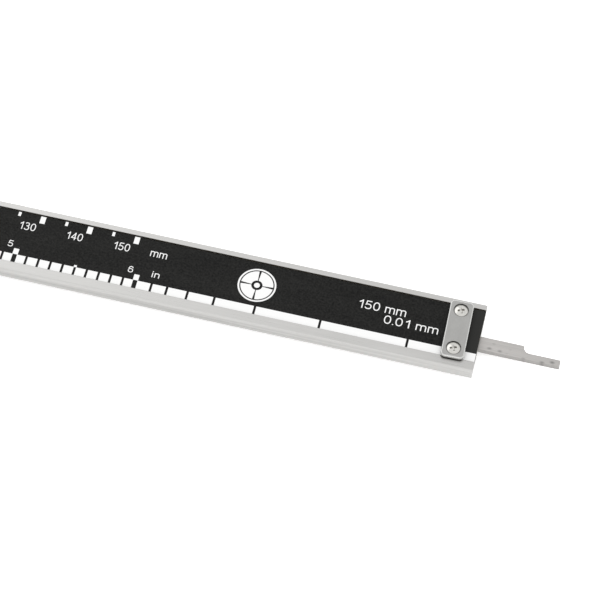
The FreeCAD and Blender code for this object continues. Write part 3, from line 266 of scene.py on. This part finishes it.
def satin_plate(name, colour, rim_highlight_colour):
    """The end stop: a satin face, and a rim in a much lighter colour, a painted highlight."""
    look = Look(name)
    grains = look.noise((7.0, 7.0, 7.0), detail=3.0, roughness=0.7)
    wipes = look.noise((0.5, 0.25, 0.4), detail=2.0)
    tone = look.sum(grains, wipes, 0.6)
    face = look.tint(tone, shade(colour, 0.93), shade(colour, 1.07), 0.6, 1.0)
    # Painted highlight: the rim and rounded edges get a much lighter colour than the flat face.
    rim = look.tint(grains, shade(rim_highlight_colour, 0.95), rim_highlight_colour)
    flat = look.upward()
    tone = look.mixed(look.spread(flat, 0.0, 1.0, 0.90, 0.995), rim, face)
    # Painted shade: the colour turns darker in the counterbores and corners.
    look.colour(look.soiled(tone, 0.3, shade(colour, 0.6)))
    look.rough(look.spread(flat, 0.26, 0.42, 0.90, 1.0))
    look.bump(grains, 0.010, 0.5)
    return look.set(metallic=1.0)


def plated_metal(name, colour, rough=(0.10, 0.24)):
    """Bright plated metal with small handling marks, and painted shade in its recesses."""
    look = Look(name)
    marks = look.noise((2.2, 2.2, 2.2), detail=4.0, roughness=0.6)
    ripple = look.noise((0.9, 0.9, 0.9), detail=1.0)
    tone = look.tint(marks, shade(colour, 0.9), shade(colour, 1.05))
    # Painted shade: the colour darkens in recesses and corners.
    look.colour(look.soiled(tone, 0.3, shade(colour, 0.4)))
    look.rough(look.spread(marks, rough[0], rough[1]))
    look.bump(look.sum(ripple, marks, 0.2), 0.008, 0.3)
    return look.set(metallic=1.0)


def moulded_plastic(name, colour, grain=4.5, depth=0.02, rough=(0.42, 0.60)):
    """Moulded plastic with a spark-eroded texture, slightly polished by hands where clouds are light."""
    look = Look(name)
    pits = look.cells((grain, grain, grain), "SMOOTH_F1")
    fine = look.noise((grain * 1.7, grain * 1.7, grain * 1.7), detail=2.0)
    clouds = look.noise((0.06, 0.08, 0.08), detail=3.0)
    height = look.sum(pits, fine, 0.7)
    look.colour(look.tint(look.sum(fine, clouds, 0.8), shade(colour, 0.86), shade(colour, 1.16), 0.65, 1.1))
    look.rough(look.spread(look.sum(clouds, fine, 0.3), rough[1], rough[0], 0.5, 0.8))
    look.bump(height, depth, 0.55)
    return look


def smooth_plastic(name, colour, rough=(0.28, 0.40)):
    look = Look(name)
    fine = look.noise((3.0, 3.0, 3.0), detail=3.0)
    clouds = look.noise((0.15, 0.15, 0.15), detail=2.0)
    look.colour(look.tint(look.sum(fine, clouds, 0.7), shade(colour, 0.9), shade(colour, 1.08), 0.6, 1.1))
    look.rough(look.spread(clouds, rough[0], rough[1]))
    look.bump(fine, 0.004, 0.3)
    return look


def printed_film(name, colour, fleck):
    """The label's film: almost black, faintly flecked, and paler over its last few millimetres towards the
    beam's end."""
    look = Look(name)
    flecks = look.noise((2.6, 2.6, 2.6), detail=4.0, roughness=0.75)
    peel = look.noise((5.0, 5.0, 5.0), detail=2.0)
    wear = look.noise((0.05, 0.25, 0.25), detail=3.0)
    along = look.add("ShaderNodeSeparateXYZ")
    look.link(look.where, along.inputs["Vector"])
    # The colour grows gradually paler over the last 6 mm before the beam's end.
    paler_length = 6.0
    paler_from, paler_to = (BEAM_HIGH.x - paler_length) * MM, BEAM_HIGH.x * MM
    paler_to_end = look.spread(along.outputs["X"], 0.0, 0.45, paler_from, paler_to)
    tone = look.sum(look.sum(flecks, wear, 0.25), paler_to_end)
    look.colour(look.tint(tone, colour, fleck, 0.45, 0.85))
    look.rough(look.spread(look.sum(peel, wear, 0.6), 0.42, 0.56, 0.6, 1.0))
    look.bump(peel, 0.006, 0.3, edge_mm=0.0)
    return look.set(specular_ior_level=0.11)


def white_ink(name, colour):
    look = Look(name)
    fine = look.noise((6.0, 6.0, 6.0), detail=3.0)
    look.colour(look.tint(fine, shade(colour, 0.965), colour))
    look.rough(look.spread(fine, 0.46, 0.58))
    look.bump(fine, 0.003, 0.3, edge_mm=0.0)
    return look


def dark_felt(name, colour):
    look = Look(name)
    hairs = look.noise((3.0, 9.0, 9.0), detail=6.0, roughness=0.8)
    look.colour(look.tint(hairs, shade(colour, 0.5), shade(colour, 1.6)))
    look.rough(look.spread(hairs, 0.85, 1.0))
    look.bump(hairs, 0.12, 0.9)
    return look.set(sheen_weight=0.4)


def clear_window(name):
    """Clear acrylic with a faint trace of wiping."""
    look = Look(name)
    wipes = look.noise((0.05, 0.35, 0.35), detail=4.0, turn=(0, 0, 20))
    look.colour(look.tint(wipes, (0.93, 0.95, 0.94), (0.97, 0.98, 0.975)))
    look.rough(look.spread(wipes, 0.02, 0.07))
    return look.set(transmission_weight=1.0, ior=1.49)


def display_glass(name, colour):
    """The reflective back of the display: grey-green, with the polariser's fine grain and soft clouding."""
    look = Look(name)
    grain = look.noise((9.0, 9.0, 9.0), detail=3.0)
    clouds = look.noise((0.05, 0.09, 0.09), detail=2.0)
    look.colour(look.tint(look.sum(clouds, grain, 0.35), shade(colour, 0.86), shade(colour, 1.06), 0.5, 0.9))
    look.rough(look.spread(grain, 0.22, 0.34))
    look.bump(grain, 0.002, 0.3)
    return look


def laminate(name, colour):
    """Solder-masked board: woven glass shows faintly through the lacquer."""
    look = Look(name)
    weave = look.add("ShaderNodeTexWave")
    weave.inputs["Scale"].default_value = 0.35
    weave.inputs["Distortion"].default_value = 0.4
    look.link(look.stretched((1.0, 1.0, 1.0)), weave.inputs["Vector"])
    tracks = look.cells((0.55, 0.55, 0.55), "DISTANCE_TO_EDGE")
    pattern = look.sum(weave.outputs["Fac"], tracks, 1.2)
    look.colour(look.tint(pattern, shade(colour, 0.75), shade(colour, 1.25), 0.2, 0.9))
    look.rough(look.spread(tracks, 0.30, 0.42, 0.0, 0.5))
    look.bump(tracks, 0.03, 0.4)
    return look


def build_looks():
    """Every material slot's name, and the material that goes on it."""
    steel = (0.525, 0.52, 0.508)
    back_steel = (0.52, 0.52, 0.515)
    frame_steel = (0.58, 0.58, 0.575)
    rod = (0.485, 0.47, 0.455)
    across = (5.0, 0.05, 5.0)
    can, can_grain = (0.46, 0.46, 0.465), (0.08, 3.0, 3.0)
    return {
        "beam_steel": ground_steel("beam_ground_steel", steel),
        "frame_steel": ground_steel("frame_ground_steel", frame_steel, grain=across),
        "plate_steel": ground_steel("back_plate_steel", back_steel, contrast=0.09, rough=(0.28, 0.46)),
        # The second colour is the stop plate rim's painted highlight.
        "stop_plate_steel": satin_plate("stop_plate_satin", (0.392, 0.39, 0.38), (0.66, 0.66, 0.645)),
        "screw_steel": plated_metal("screw_plating", (0.66, 0.65, 0.62)),
        "rod_steel": ground_steel(
            "depth_rod_steel", rod, contrast=0.12, rough=(0.30, 0.5), painted_side_shade=0.7, specks=1.0
        ),
        "gib_brass": plated_metal("gib_brass", (0.70, 0.50, 0.22), (0.2, 0.34)),
        "spring_steel": blasted_metal("spring_steel", (0.46, 0.46, 0.47), 3.0),
        "roller_metal": blasted_metal("roller_finish", (0.34, 0.34, 0.345), 5.0, (0.28, 0.42)),
        "bush_brass": plated_metal("bush_brass", (0.72, 0.53, 0.25), (0.18, 0.3)),
        "knob_metal": blasted_metal("knob_nickel", (0.55, 0.55, 0.54), 4.0, (0.22, 0.36)),
        "strip_board": laminate("scale_laminate", (0.24, 0.19, 0.10)),
        "label_print": printed_film("label_film", (0.0012, 0.0012, 0.0012), (0.025, 0.025, 0.0235)),
        "housing_plastic": moulded_plastic("housing_plastic", (0.022, 0.023, 0.026)),
        "cover_plastic": moulded_plastic("cover_plastic", (0.027, 0.028, 0.032)),
        "inner_plastic": moulded_plastic("inner_plastic", (0.05, 0.05, 0.05), 2.5),
        "port_plastic": smooth_plastic("port_plastic", (0.020, 0.021, 0.023)),
        "face_print": blasted_metal("face_film", (0.36, 0.37, 0.385), 4.0, (0.36, 0.48)),
        "window_clear": clear_window("window_acrylic"),
        "board_laminate": laminate("board_laminate", (0.012, 0.09, 0.035)),
        "board_copper": plated_metal("board_gold", (0.80, 0.58, 0.24), (0.2, 0.32)),
        "chip_resin": smooth_plastic("chip_resin", (0.012, 0.012, 0.013), (0.25, 0.45)),
        "crystal_can": plated_metal("crystal_can", (0.66, 0.66, 0.65)),
        "capacitor_ceramic": smooth_plastic("capacitor_ceramic", (0.38, 0.26, 0.15), (0.35, 0.5)),
        "zebra_rubber": laminate("zebra_rubber", (0.16, 0.16, 0.17)),
        "lcd_glass": display_glass("display_glass", (0.40, 0.45, 0.37)),
        "gasket_foam": dark_felt("gasket_foam", (0.03, 0.03, 0.03)),
        "battery_can": ground_steel("battery_can", can, grain=can_grain, contrast=0.12),
        "contact_metal": plated_metal("contact_nickel", (0.62, 0.61, 0.56), (0.18, 0.3)),
        "wiper_felt": dark_felt("wiper_felt", (0.04, 0.04, 0.04)),
        "button_power": smooth_plastic("button_orange", (0.62, 0.14, 0.02)),
        "button_zero": smooth_plastic("button_blue", (0.03, 0.09, 0.30)),
        "button_mode": smooth_plastic("button_grey", (0.06, 0.06, 0.065)),
        "dome_metal": blasted_metal("dome_metal", (0.55, 0.55, 0.54), 4.0),
    }


def dress_cad(looks):
    """Gives every CAD node the material of its slot."""
    for part in frame["record"]["subparts"]:
        slots = NODES[part["node"]].data.materials
        material = looks[part["material_slot"]].material
        if len(slots) == 0:
            slots.append(material)
        for i in range(len(slots)):
            slots[i] = material


# ---- Mesh helpers --------------------------------------------------------------------------------------
def place_mesh(name, mesh, material, body):
    mesh.materials.clear()
    mesh.materials.append(material)
    piece = bpy.data.objects.new(name, mesh)
    bpy.context.scene.collection.objects.link(piece)
    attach(piece, body)
    return piece


def finish_mesh(bm, name):
    bmesh.ops.recalc_face_normals(bm, faces=bm.faces)
    mesh = bpy.data.meshes.new(name)
    bm.to_mesh(mesh)
    bm.free()
    return mesh


def add_prism(bm, outline, z0, z1):
    """A closed prism in bm over an outline of (x, y) in millimetres, from z0 to z1."""
    low = [bm.verts.new((x * MM, y * MM, z0 * MM)) for x, y in outline]
    high = [bm.verts.new((x * MM, y * MM, z1 * MM)) for x, y in outline]
    bm.faces.new(list(reversed(low)))
    bm.faces.new(high)
    for i in range(len(outline)):
        j = (i + 1) % len(outline)
        bm.faces.new((low[i], low[j], high[j], high[i]))


def rectangle(x0, x1, y0, y1):
    return [(x0, y0), (x1, y0), (x1, y1), (x0, y1)]


def sector(cx, cy, inner, outer, start, stop, steps=16):
    """A ring sector's outline; start and stop are in degrees."""
    angles = [math.radians(start + (stop - start) * i / steps) for i in range(steps + 1)]
    rim = [(cx + outer * math.cos(a), cy + outer * math.sin(a)) for a in angles]
    back = [(cx + inner * math.cos(a), cy + inner * math.sin(a)) for a in reversed(angles)]
    return rim + back


def add_ribbon(bm, path, width, z0, z1, closed=False):
    """A flat bar of even width that follows path, a list of (x, y) in millimetres, with mitred corners."""
    count = len(path)
    sections = []
    for i, (x, y) in enumerate(path):
        before = path[i - 1] if closed or i > 0 else path[i]
        after = path[(i + 1) % count] if closed or i < count - 1 else path[i]
        into = Vector((x - before[0], y - before[1]))
        out = Vector((after[0] - x, after[1] - y))
        into = into.normalized() if into.length > 0 else out.normalized()
        out = out.normalized() if out.length > 0 else into
        along = (into + out).normalized()
        reach = width / 2 / max(0.35, along.dot(into))
        side = Vector((-along.y, along.x)) * reach
        corners = ((x + side.x, y + side.y, z0), (x - side.x, y - side.y, z0))
        corners += ((x - side.x, y - side.y, z1), (x + side.x, y + side.y, z1))
        sections.append([bm.verts.new(Vector(c) * MM) for c in corners])
    for i in range(count if closed else count - 1):
        here, there = sections[i], sections[(i + 1) % count]
        for k in range(4):
            m = (k + 1) % 4
            bm.faces.new((here[k], here[m], there[m], there[k]))
    if not closed:
        bm.faces.new(sections[0])
        bm.faces.new(list(reversed(sections[-1])))


# ---- Lettering -----------------------------------------------------------------------------------------
STROKE = 0.108  # stroke width, as a share of a capital's height
THIN_STROKE = 0.105
DIGIT_WIDE = 0.62
DIGIT_PITCH = 0.76
SMALL_HIGH = 0.74  # height of small letters


def oval(cx, cy, rx, ry, start, stop, steps=14, fullness=2.25):
    """Points on a slightly squared oval, from start to stop degrees."""
    points = []
    for i in range(steps + 1):
        a = math.radians(start + (stop - start) * i / steps)
        c, s = math.cos(a), math.sin(a)
        x = math.copysign(abs(c) ** (2 / fullness), c)
        y = math.copysign(abs(s) ** (2 / fullness), s)
        points.append((cx + rx * x, cy + ry * y))
    return points


def ring(cx, cy, rx, ry):
    return oval(cx, cy, rx, ry, 0, 360, 28)[:-1]


def glyph(letter, stroke=STROKE):
    """(width, open strokes, closed strokes, filled outlines) of a letter 1 high, in a plain sans style."""
    t = stroke
    h = t / 2
    w = DIGIT_WIDE
    mid = w / 2
    wide = mid - h
    small = SMALL_HIGH
    if letter == "0":
        return w, [], [ring(mid, 0.5, wide, 0.5 - h)], []
    if letter == "1":
        flag = [(0.47 - t, 0), (0.47, 0), (0.47, 1), (0.39, 1), (0.28, 0.87), (0.12, 0.77), (0.12, 0.645)]
        return 0.52, [], [], [flag + [(0.25, 0.70), (0.47 - t, 0.79)]]
    if letter == "2":
        bow = oval(mid, 0.70, wide - 0.01, 0.30 - h, 172, -28, 14)
        return w, [bow + [(0.30, 0.30), (h + 0.02, h), (w, h)]], [], []
    if letter == "3":
        upper = oval(mid - 0.02, 0.745, wide - 0.03, 0.255 - h, 158, -90, 12) + [(0.22, 0.49 + h)]
        lower = [(0.22, 0.49 + h)] + oval(mid - 0.01, 0.278, wide, 0.278 - h + 0.03, 90, -160, 14)
        return w, [upper, lower], [], []
    if letter == "4":
        stem, bar = 0.45, 0.285
        upright, level = [(stem, 0), (stem, 1)], [(0.0, bar), (w + 0.01, bar)]
        return w, [upright, level, [(stem, 0.95), (0.06, 0.30)]], [], []
    if letter == "5":
        bowl = oval(mid - 0.01, 0.325, wide + 0.01, 0.325 - h, 128, -160, 14)
        return w, [[(w - 0.04, 1 - h), (0.15, 1 - h), (0.095, 0.53)] + bowl], [], []
    if letter == "6":
        hook = oval(mid + 0.01, 0.5, wide, 0.5 - h, 190, 34, 12)
        return w, [hook], [ring(mid, 0.325, wide, 0.325 - h)], []
    if letter == "7":
        return w, [[(0.01, 1 - h), (w - 0.06, 1 - h), (0.36, 0.55), (0.23, 0)]], [], []
    if letter == "8":
        return w, [], [ring(mid, 0.755, wide - 0.03, 0.245 - h), ring(mid, 0.29, wide, 0.29 - h)], []
    if letter == "9":
        hook = oval(mid - 0.01, 0.5, wide, 0.5 - h, 10, -146, 12)
        return w, [hook], [ring(mid, 0.675, wide, 0.325 - h)], []
    if letter in "mn":
        span = 0.40
        arches = []
        for k in range(2 if letter == "m" else 1):
            left = h + k * span
            top = oval(left + span / 2, small - 0.22, span / 2, 0.22 - h, 176, 0, 8)
            arches.append(top + [(left + span, 0)])
        return h * 2 + span * len(arches), [[(h, 0), (h, small)]] + arches, [], []
    if letter == "i":
        return t, [[(h, 0), (h, small)], [(h, 0.86), (h, 1)]], [], []
    if letter == ".":
        return t, [[(h, 0), (h, t)]], [], []
    if letter == "/":
        return 0.34, [[(0.04, 0), (0.30, 1)]], [], []
    if letter == " ":
        return 0.22, [], [], []
    raise ValueError("no glyph for " + letter)


def text_width(text):
    return sum(glyph(letter)[0] for letter in text) + (len(text) - 1) * (DIGIT_PITCH - DIGIT_WIDE)


def add_text(bm, text, x0, x1, y0, y1, z0, z1, line=STROKE):
    """Raised lettering in the box x0..x1, y0..y1, which is filled from edge to edge."""
    high = y1 - y0
    tall = 1.0 if any(c in "0123456789i/" for c in text) else SMALL_HIGH
    scale_y = high / tall
    scale_x = (x1 - x0) / text_width(text)
    thick = line * (scale_x + scale_y) / 2
    x = x0
    for letter in text:
        width, strokes, loops, outlines = glyph(letter, line)

        def placed(points):
            return [(x + px * scale_x, y0 + py * scale_y) for px, py in points]

        for order, stroke in enumerate(strokes):
            add_ribbon(bm, placed(stroke), thick, z0, z1 - order * 0.001)
        for loop in loops:
            add_ribbon(bm, placed(loop), thick, z0, z1, closed=True)
        for outline in outlines:
            add_prism(bm, placed(outline), z0, z1)
        x += (width + DIGIT_PITCH - DIGIT_WIDE) * scale_x


# ---- Printed scale -------------------------------------------------------------------------------------
INK_BACK = LABEL_HIGH.z - 0.02
INK_FRONT = LABEL_HIGH.z + 0.02
BAND_LOW = LABEL_LOW.y
BAND_HIGH = BAND_LOW + 1.97
SCALE_SHIFT = 0.1  # the millimetre scale is printed this far right of its true place
INCH_SHIFT = -0.1  # and the inch separators this far left of theirs
TICK_TOP = 14.38
TENS_LOW = 12.68
FIVES_LOW = 13.38
DIGITS_LOW = 10.45
DIGITS_HIGH = 12.28
INCH_DIGITS_LOW = 5.75
INCH_DIGITS_HIGH = 7.25
TENS_HALF = 0.55  # half the width of a numbered tick
FIVES_HALF = 0.29
DIGITS_GAP = 0.9  # between a number and the tick on its right
DIGITS_SQUEEZE = 0.94
INCH_DIGITS_GAP = 1.05
INCH_DIGIT_WIDE = 1.08
UNIT_MM = (153.6, 157.1, 10.55, 11.87)  # x from, x to, y from, y to
UNIT_INCH = (155.2, 156.8, 5.7, 7.2)
MARK_CENTRE = (176.5, 9.1)
RANGE_TEXT = (197.35, 207.35, 9.15, 11.15)
STEP_TEXT = (203.25, 214.5, 6.7, 8.65)
INK = (INK_BACK, INK_FRONT)
SEPARATOR = 0.50
INCH_SEPARATOR = 0.93
END_BLOCKS = (3.45, 3.25, 4.3, 5.6, 8.45, 13.55, 18.0)  # widths of the white blocks past the last inch


def millimetre_scale(bm):
    """Ticks every 5 mm near the label's upper edge; every tenth is wide and numbered to its left."""
    for mark in range(5, 151, 5):
        tens = mark % 10 == 0
        half, low = (TENS_HALF, TENS_LOW) if tens else (FIVES_HALF, FIVES_LOW)
        x = mark + SCALE_SHIFT
        add_prism(bm, rectangle(x - half, x + half, low, TICK_TOP), *INK)
        if tens:
            right = x - DIGITS_GAP
            wide = text_width(str(mark)) * (DIGITS_HIGH - DIGITS_LOW) * DIGITS_SQUEEZE
            add_text(bm, str(mark), right - wide, right, DIGITS_LOW, DIGITS_HIGH, *INK)
    add_text(bm, "mm", *UNIT_MM, *INK)


def inch_scale(bm):
    """A white band with a dark gap every tenth of an inch, then gaps that spread out to the beam's end."""
    gaps = []
    for tenth in range(1, 61):
        width = INCH_SEPARATOR if tenth % 10 == 0 else SEPARATOR
        gaps.append((tenth * INCH / 10 + INCH_SHIFT, width))
    centre = gaps[-1][0]
    for block in END_BLOCKS:
        centre += block
        gaps.append((centre, SEPARATOR))
    margin = 0.05
    low = BAND_LOW + 0.02
    left = LABEL_LOW.x + margin
    for centre, width in gaps:
        add_prism(bm, rectangle(left, centre - width / 2, low, BAND_HIGH), *INK)
        left = centre + width / 2
    add_prism(bm, rectangle(left, LABEL_HIGH.x - margin, low, BAND_HIGH), *INK)
    stub_half, stub_high = 0.3, 0.5
    flag_gap, flag_high = 0.03, 1.38
    for tenth in range(5, 61, 5):
        x = tenth * INCH / 10 + INCH_SHIFT
        if tenth % 10:
            add_prism(bm, rectangle(x - stub_half, x + stub_half, BAND_HIGH, BAND_HIGH + stub_high), *INK)
            continue
        flag = rectangle(x - TENS_HALF, x + TENS_HALF, BAND_HIGH + flag_gap, BAND_HIGH + flag_high)
        add_prism(bm, flag, *INK)
        right = x - INCH_DIGITS_GAP
        digit = str(tenth // 10)
        add_text(bm, digit, right - INCH_DIGIT_WIDE, right, INCH_DIGITS_LOW, INCH_DIGITS_HIGH, *INK)
    add_text(bm, "in", *UNIT_INCH, *INK)


def round_mark(bm):
    """A plain quartered disc, like a datum target."""
    cx, cy = MARK_CENTRE
    gap, turn = 4.0, 359.9
    quarter_inner, quarter_outer = 1.15, 3.35
    ring_inner, ring_outer = 3.6, 3.95
    pin_inner, pin_outer = 0.02, 0.6
    for quarter in range(4):
        start = 90 * quarter
        add_prism(bm, sector(cx, cy, quarter_inner, quarter_outer, start + gap, start + 90 - gap), *INK)
    add_prism(bm, sector(cx, cy, ring_inner, ring_outer, 0, turn, 64), *INK)
    add_prism(bm, sector(cx, cy, pin_inner, pin_outer, 0, turn, 32), *INK)


def range_lettering(bm):
    """The measuring range and the display's step, in two lines."""
    add_text(bm, "150 mm", *RANGE_TEXT, *INK, THIN_STROKE)
    add_text(bm, "0.01 mm", *STEP_TEXT, *INK, THIN_STROKE)


def build_scale_print(ink):
    for name, draw in (
        ("print_millimetre_scale", millimetre_scale),
        ("print_inch_scale", inch_scale),
        ("print_round_mark", round_mark),
        ("print_range", range_lettering),
    ):
        bm = bmesh.new()
        draw(bm)
        place_mesh(name, finish_mesh(bm, name), ink.material, "beam")


# ---- Display -------------------------------------------------------------------------------------------
SEGMENTS = {
    "0": "abcdef", "1": "bc", "2": "abged", "3": "abgcd", "4": "fgbc",
    "5": "afgcd", "6": "afgedc", "7": "abc", "8": "abcdefg", "9": "abcdfg",
}


def segment_outline(which, x, y, width, height, thick):
    """One bar of a seven-bar digit, with pointed ends."""
    half = thick / 2
    gap = thick * 0.12
    middle = y + height / 2

    def level(cy):
        x0, x1 = x + half + gap, x + width - half - gap
        lower = [(x0, cy), (x0 + half, cy - half), (x1 - half, cy - half)]
        return lower + [(x1, cy), (x1 - half, cy + half), (x0 + half, cy + half)]

    def upright(cx, y0, y1):
        y0, y1 = y0 + gap, y1 - gap
        right_side = [(cx, y0), (cx + half, y0 + half), (cx + half, y1 - half)]
        return right_side + [(cx, y1), (cx - half, y1 - half), (cx - half, y0 + half)]

    low, high = y + half, y + height - half
    return {
        "a": level(high),
        "g": level(middle),
        "d": level(low),
        "f": upright(x + half, middle, high),
        "e": upright(x + half, low, middle),
        "b": upright(x + width - half, middle, high),
        "c": upright(x + width - half, low, middle),
    }[which]


def slanted(outline, base_y, lean=0.10):
    return [(x + (y - base_y) * lean, y) for x, y in outline]


def build_display(ink):
    """The jaws stand 16.70 mm open at rest, and that is what the display reads."""
    bm = bmesh.new()
    z0, z1 = LCD_HIGH.z - 0.01, LCD_HIGH.z + 0.02
    width, height, thick, pitch = 3.5, 6.9, 0.75, 4.75
    base = (WINDOW_LOW.y + WINDOW_HIGH.y) / 2 - height / 2
    unit_room, dot_shift, dot_wide = 7.0, 0.45, 0.7
    right = WINDOW_HIGH.x - unit_room
    for place, digit in enumerate(reversed("1670")):
        x = right - width - place * pitch
        for which in SEGMENTS[digit]:
            add_prism(bm, slanted(segment_outline(which, x, base, width, height, thick), base), z0, z1)
    dot = right - 2 * pitch + dot_shift
    add_prism(bm, rectangle(dot, dot + dot_wide, base, base + dot_wide), z0, z1)
    unit_left, unit_right, unit_low, unit_high = right + 0.9, right + 3.9, base + 0.1, base + 1.5
    add_text(bm, "mm", unit_left, unit_right, unit_low, unit_high, z0, z1)
    place_mesh("display_digits", finish_mesh(bm, "display_digits"), ink.material, "slider")


# ---- Button symbols and face print ---------------------------------------------------------------------
def build_button_symbols(ink):
    for name in ("power", "zero", "mode"):
        low, high = box_mm(name + "_button")
        cx, cy, top = (low.x + high.x) / 2, (low.y + high.y) / 2, high.z
        bm = bmesh.new()
        z0, z1 = top - 0.02, top + 0.008
        if name == "power":
            inner, outer, drop, half, high = 0.85, 1.15, 0.1, 0.15, 1.35
            add_prism(bm, sector(cx, cy - drop, inner, outer, 120, 420, 36), z0, z1)
            add_prism(bm, rectangle(cx - half, cx + half, cy, cy + high), z0, z1)
        elif name == "zero":
            half, rise = 0.7, 1.1
            tip, tail, barb = 1.6, 2.9, 0.6
            add_text(bm, "0", cx - half, cx + half, cy - rise, cy + rise, z0, z1)
            for side in (-1, 1):
                tail_x = cx + side * tail
                arrow = [(tail_x, cy - barb), (cx + side * tip, cy), (tail_x, cy + barb)]
                add_prism(bm, arrow, z0, z1)
        else:
            half, below, above = 2.9, 0.75, 0.9
            add_text(bm, "mm/in", cx - half, cx + half, cy - below, cy + above, z0, z1)
        symbol = "symbol_" + name
        place_mesh(symbol, finish_mesh(bm, symbol), ink.material, name + "_button")


def build_face_print(ink):
    """A thin frame line round the window."""
    bm = bmesh.new()
    z0, z1 = FACE_HIGH.z - 0.01, FACE_HIGH.z + 0.02
    gap, line = 0.2, 0.22
    x0, x1 = WINDOW_LOW.x - gap, WINDOW_HIGH.x + gap
    y0, y1 = WINDOW_LOW.y - gap, WINDOW_HIGH.y + gap
    for bar in (
        rectangle(x0, x1, y0 - line, y0),
        rectangle(x0, x1, y1, y1 + line),
        rectangle(x0 - line, x0, y0 - line, y1 + line),
        rectangle(x1, x1 + line, y0 - line, y1 + line),
    ):
        add_prism(bm, bar, z0, z1)
    place_mesh("print_face_frame", finish_mesh(bm, "print_face_frame"), ink.material, "slider")


def build_battery_mark(ink):
    """A plus sign and a fine ring on the battery's face."""
    middle = (BATTERY_LOW + BATTERY_HIGH) / 2
    radius = (BATTERY_HIGH.x - BATTERY_LOW.x) / 2
    z0, z1 = BATTERY_HIGH.z - 0.01, BATTERY_HIGH.z + 0.015
    arm, half = 1.7, 0.28
    corner = [(arm, -half), (arm, half), (half, half)]
    quarters = [(x, y) for x, y in corner] + [(-y, x) for x, y in corner]
    plus = quarters + [(-x, -y) for x, y in quarters]
    bm = bmesh.new()
    add_prism(bm, [(middle.x + x, middle.y + radius * 0.45 + y) for x, y in plus], z0, z1)
    add_prism(bm, sector(middle.x, middle.y, radius * 0.83, radius * 0.845, 0, 359.9, 64), z0, z1)
    mark = "print_battery_mark"
    place_mesh(mark, finish_mesh(bm, mark), ink.material, "slider")


# ---- Floor, light and camera ---------------------------------------------------------------------------
FLOOR_GLOW = 0.45  # the floor is an opal sheet that is lit from below as well
SKY = 1.0
LEFT_BOX_PLACE = (-0.43, 0.51, 0.76)  # in metres, and the powers in watts
LEFT_BOX_SIZE = (0.9, 0.8)
LEFT_BOX_POWER = 1.3
FRONT_BOX_PLACE = (0.10, -0.85, 0.50)
FRONT_BOX_SIZE = (0.8, 0.3)
FRONT_BOX_POWER = 0.35
AZIMUTH, ELEVATION, ROLL = 10.43, 58.07, 3.31  # degrees; azimuth 0 looks along +Y
TARGET = (184.55, 8.64, 3.2)
DISTANCE = 516.45
LENS = 155.5
SENSOR = 36.0


def build_floor():
    look = Look("pale_floor")
    grain = look.noise((0.4, 0.4, 0.4), detail=4.0)
    look.colour(look.tint(grain, (0.93, 0.93, 0.93), (0.95, 0.95, 0.95)))
    look.rough(look.spread(grain, 0.75, 0.85))
    look.shader.inputs["Emission Color"].default_value = (1.0, 1.0, 1.0, 1.0)
    look.shader.inputs["Emission Strength"].default_value = FLOOR_GLOW
    bm = bmesh.new()
    reach, gap = 1.6, 0.02 * MM
    low = cad_low.z - gap
    corners = [(-reach, -reach), (reach, -reach), (reach, reach), (-reach, reach)]
    bm.faces.new([bm.verts.new((x, y, low)) for x, y in corners])
    mesh = bpy.data.meshes.new("floor")
    bm.to_mesh(mesh)
    bm.free()
    floor = bpy.data.objects.new("floor", mesh)
    floor.data.materials.append(look.material)
    bpy.context.scene.collection.objects.link(floor)


def soft_light(name, place, target, size, power):
    data = bpy.data.lights.new(name, "AREA")
    data.shape = "RECTANGLE"
    data.size, data.size_y = size
    data.energy = power
    light = bpy.data.objects.new(name, data)
    light.location = place
    light.rotation_mode = "QUATERNION"
    light.rotation_quaternion = (Vector(target) - Vector(place)).to_track_quat("-Z", "Y")
    bpy.context.scene.collection.objects.link(light)


def build_light():
    world = bpy.data.worlds.new("studio")
    world.use_nodes = True
    background = world.node_tree.nodes["Background"]
    background.inputs["Color"].default_value = (1.0, 1.0, 1.0, 1.0)
    background.inputs["Strength"].default_value = SKY
    bpy.context.scene.world = world
    middle = (0.16, 0.008, 0.0)
    soft_light("left_softbox", LEFT_BOX_PLACE, middle, LEFT_BOX_SIZE, LEFT_BOX_POWER)
    soft_light("front_softbox", FRONT_BOX_PLACE, middle, FRONT_BOX_SIZE, FRONT_BOX_POWER)
    bpy.context.scene.view_settings.view_transform = "Standard"


def build_camera():
    """Looks down at the beam's end from in front and slightly from the right, with a long lens."""
    data = bpy.data.cameras.new("camera")
    data.sensor_width = SENSOR
    data.lens = LENS
    data.clip_start = 0.01
    camera = bpy.data.objects.new("camera", data)
    azimuth, elevation, roll = (math.radians(a) for a in (AZIMUTH, ELEVATION, ROLL))
    back = Vector(
        (
            math.sin(azimuth) * math.cos(elevation),
            -math.cos(azimuth) * math.cos(elevation),
            math.sin(elevation),
        )
    )
    target = Vector(TARGET) * MM
    side = Vector((0, 0, 1)).cross(back).normalized()
    up = back.cross(side)
    right = side * math.cos(roll) + up * math.sin(roll)
    turned_up = back.cross(right)
    axes = Matrix((right, turned_up, back)).transposed()
    camera.matrix_world = Matrix.Translation(target + back * DISTANCE * MM) @ axes.to_4x4()
    bpy.context.scene.collection.objects.link(camera)
    bpy.context.scene.camera = camera


def main():
    looks = build_looks()
    dress_cad(looks)
    ink = white_ink("white_print", (0.93, 0.93, 0.925))
    symbols = white_ink("symbol_print", (0.80, 0.80, 0.80))
    dark = smooth_plastic("display_dark", (0.012, 0.014, 0.014), (0.3, 0.4))
    build_scale_print(ink)
    build_display(dark)
    build_button_symbols(symbols)
    build_face_print(dark)
    build_battery_mark(dark)
    build_floor()
    build_light()
    build_camera()


main()
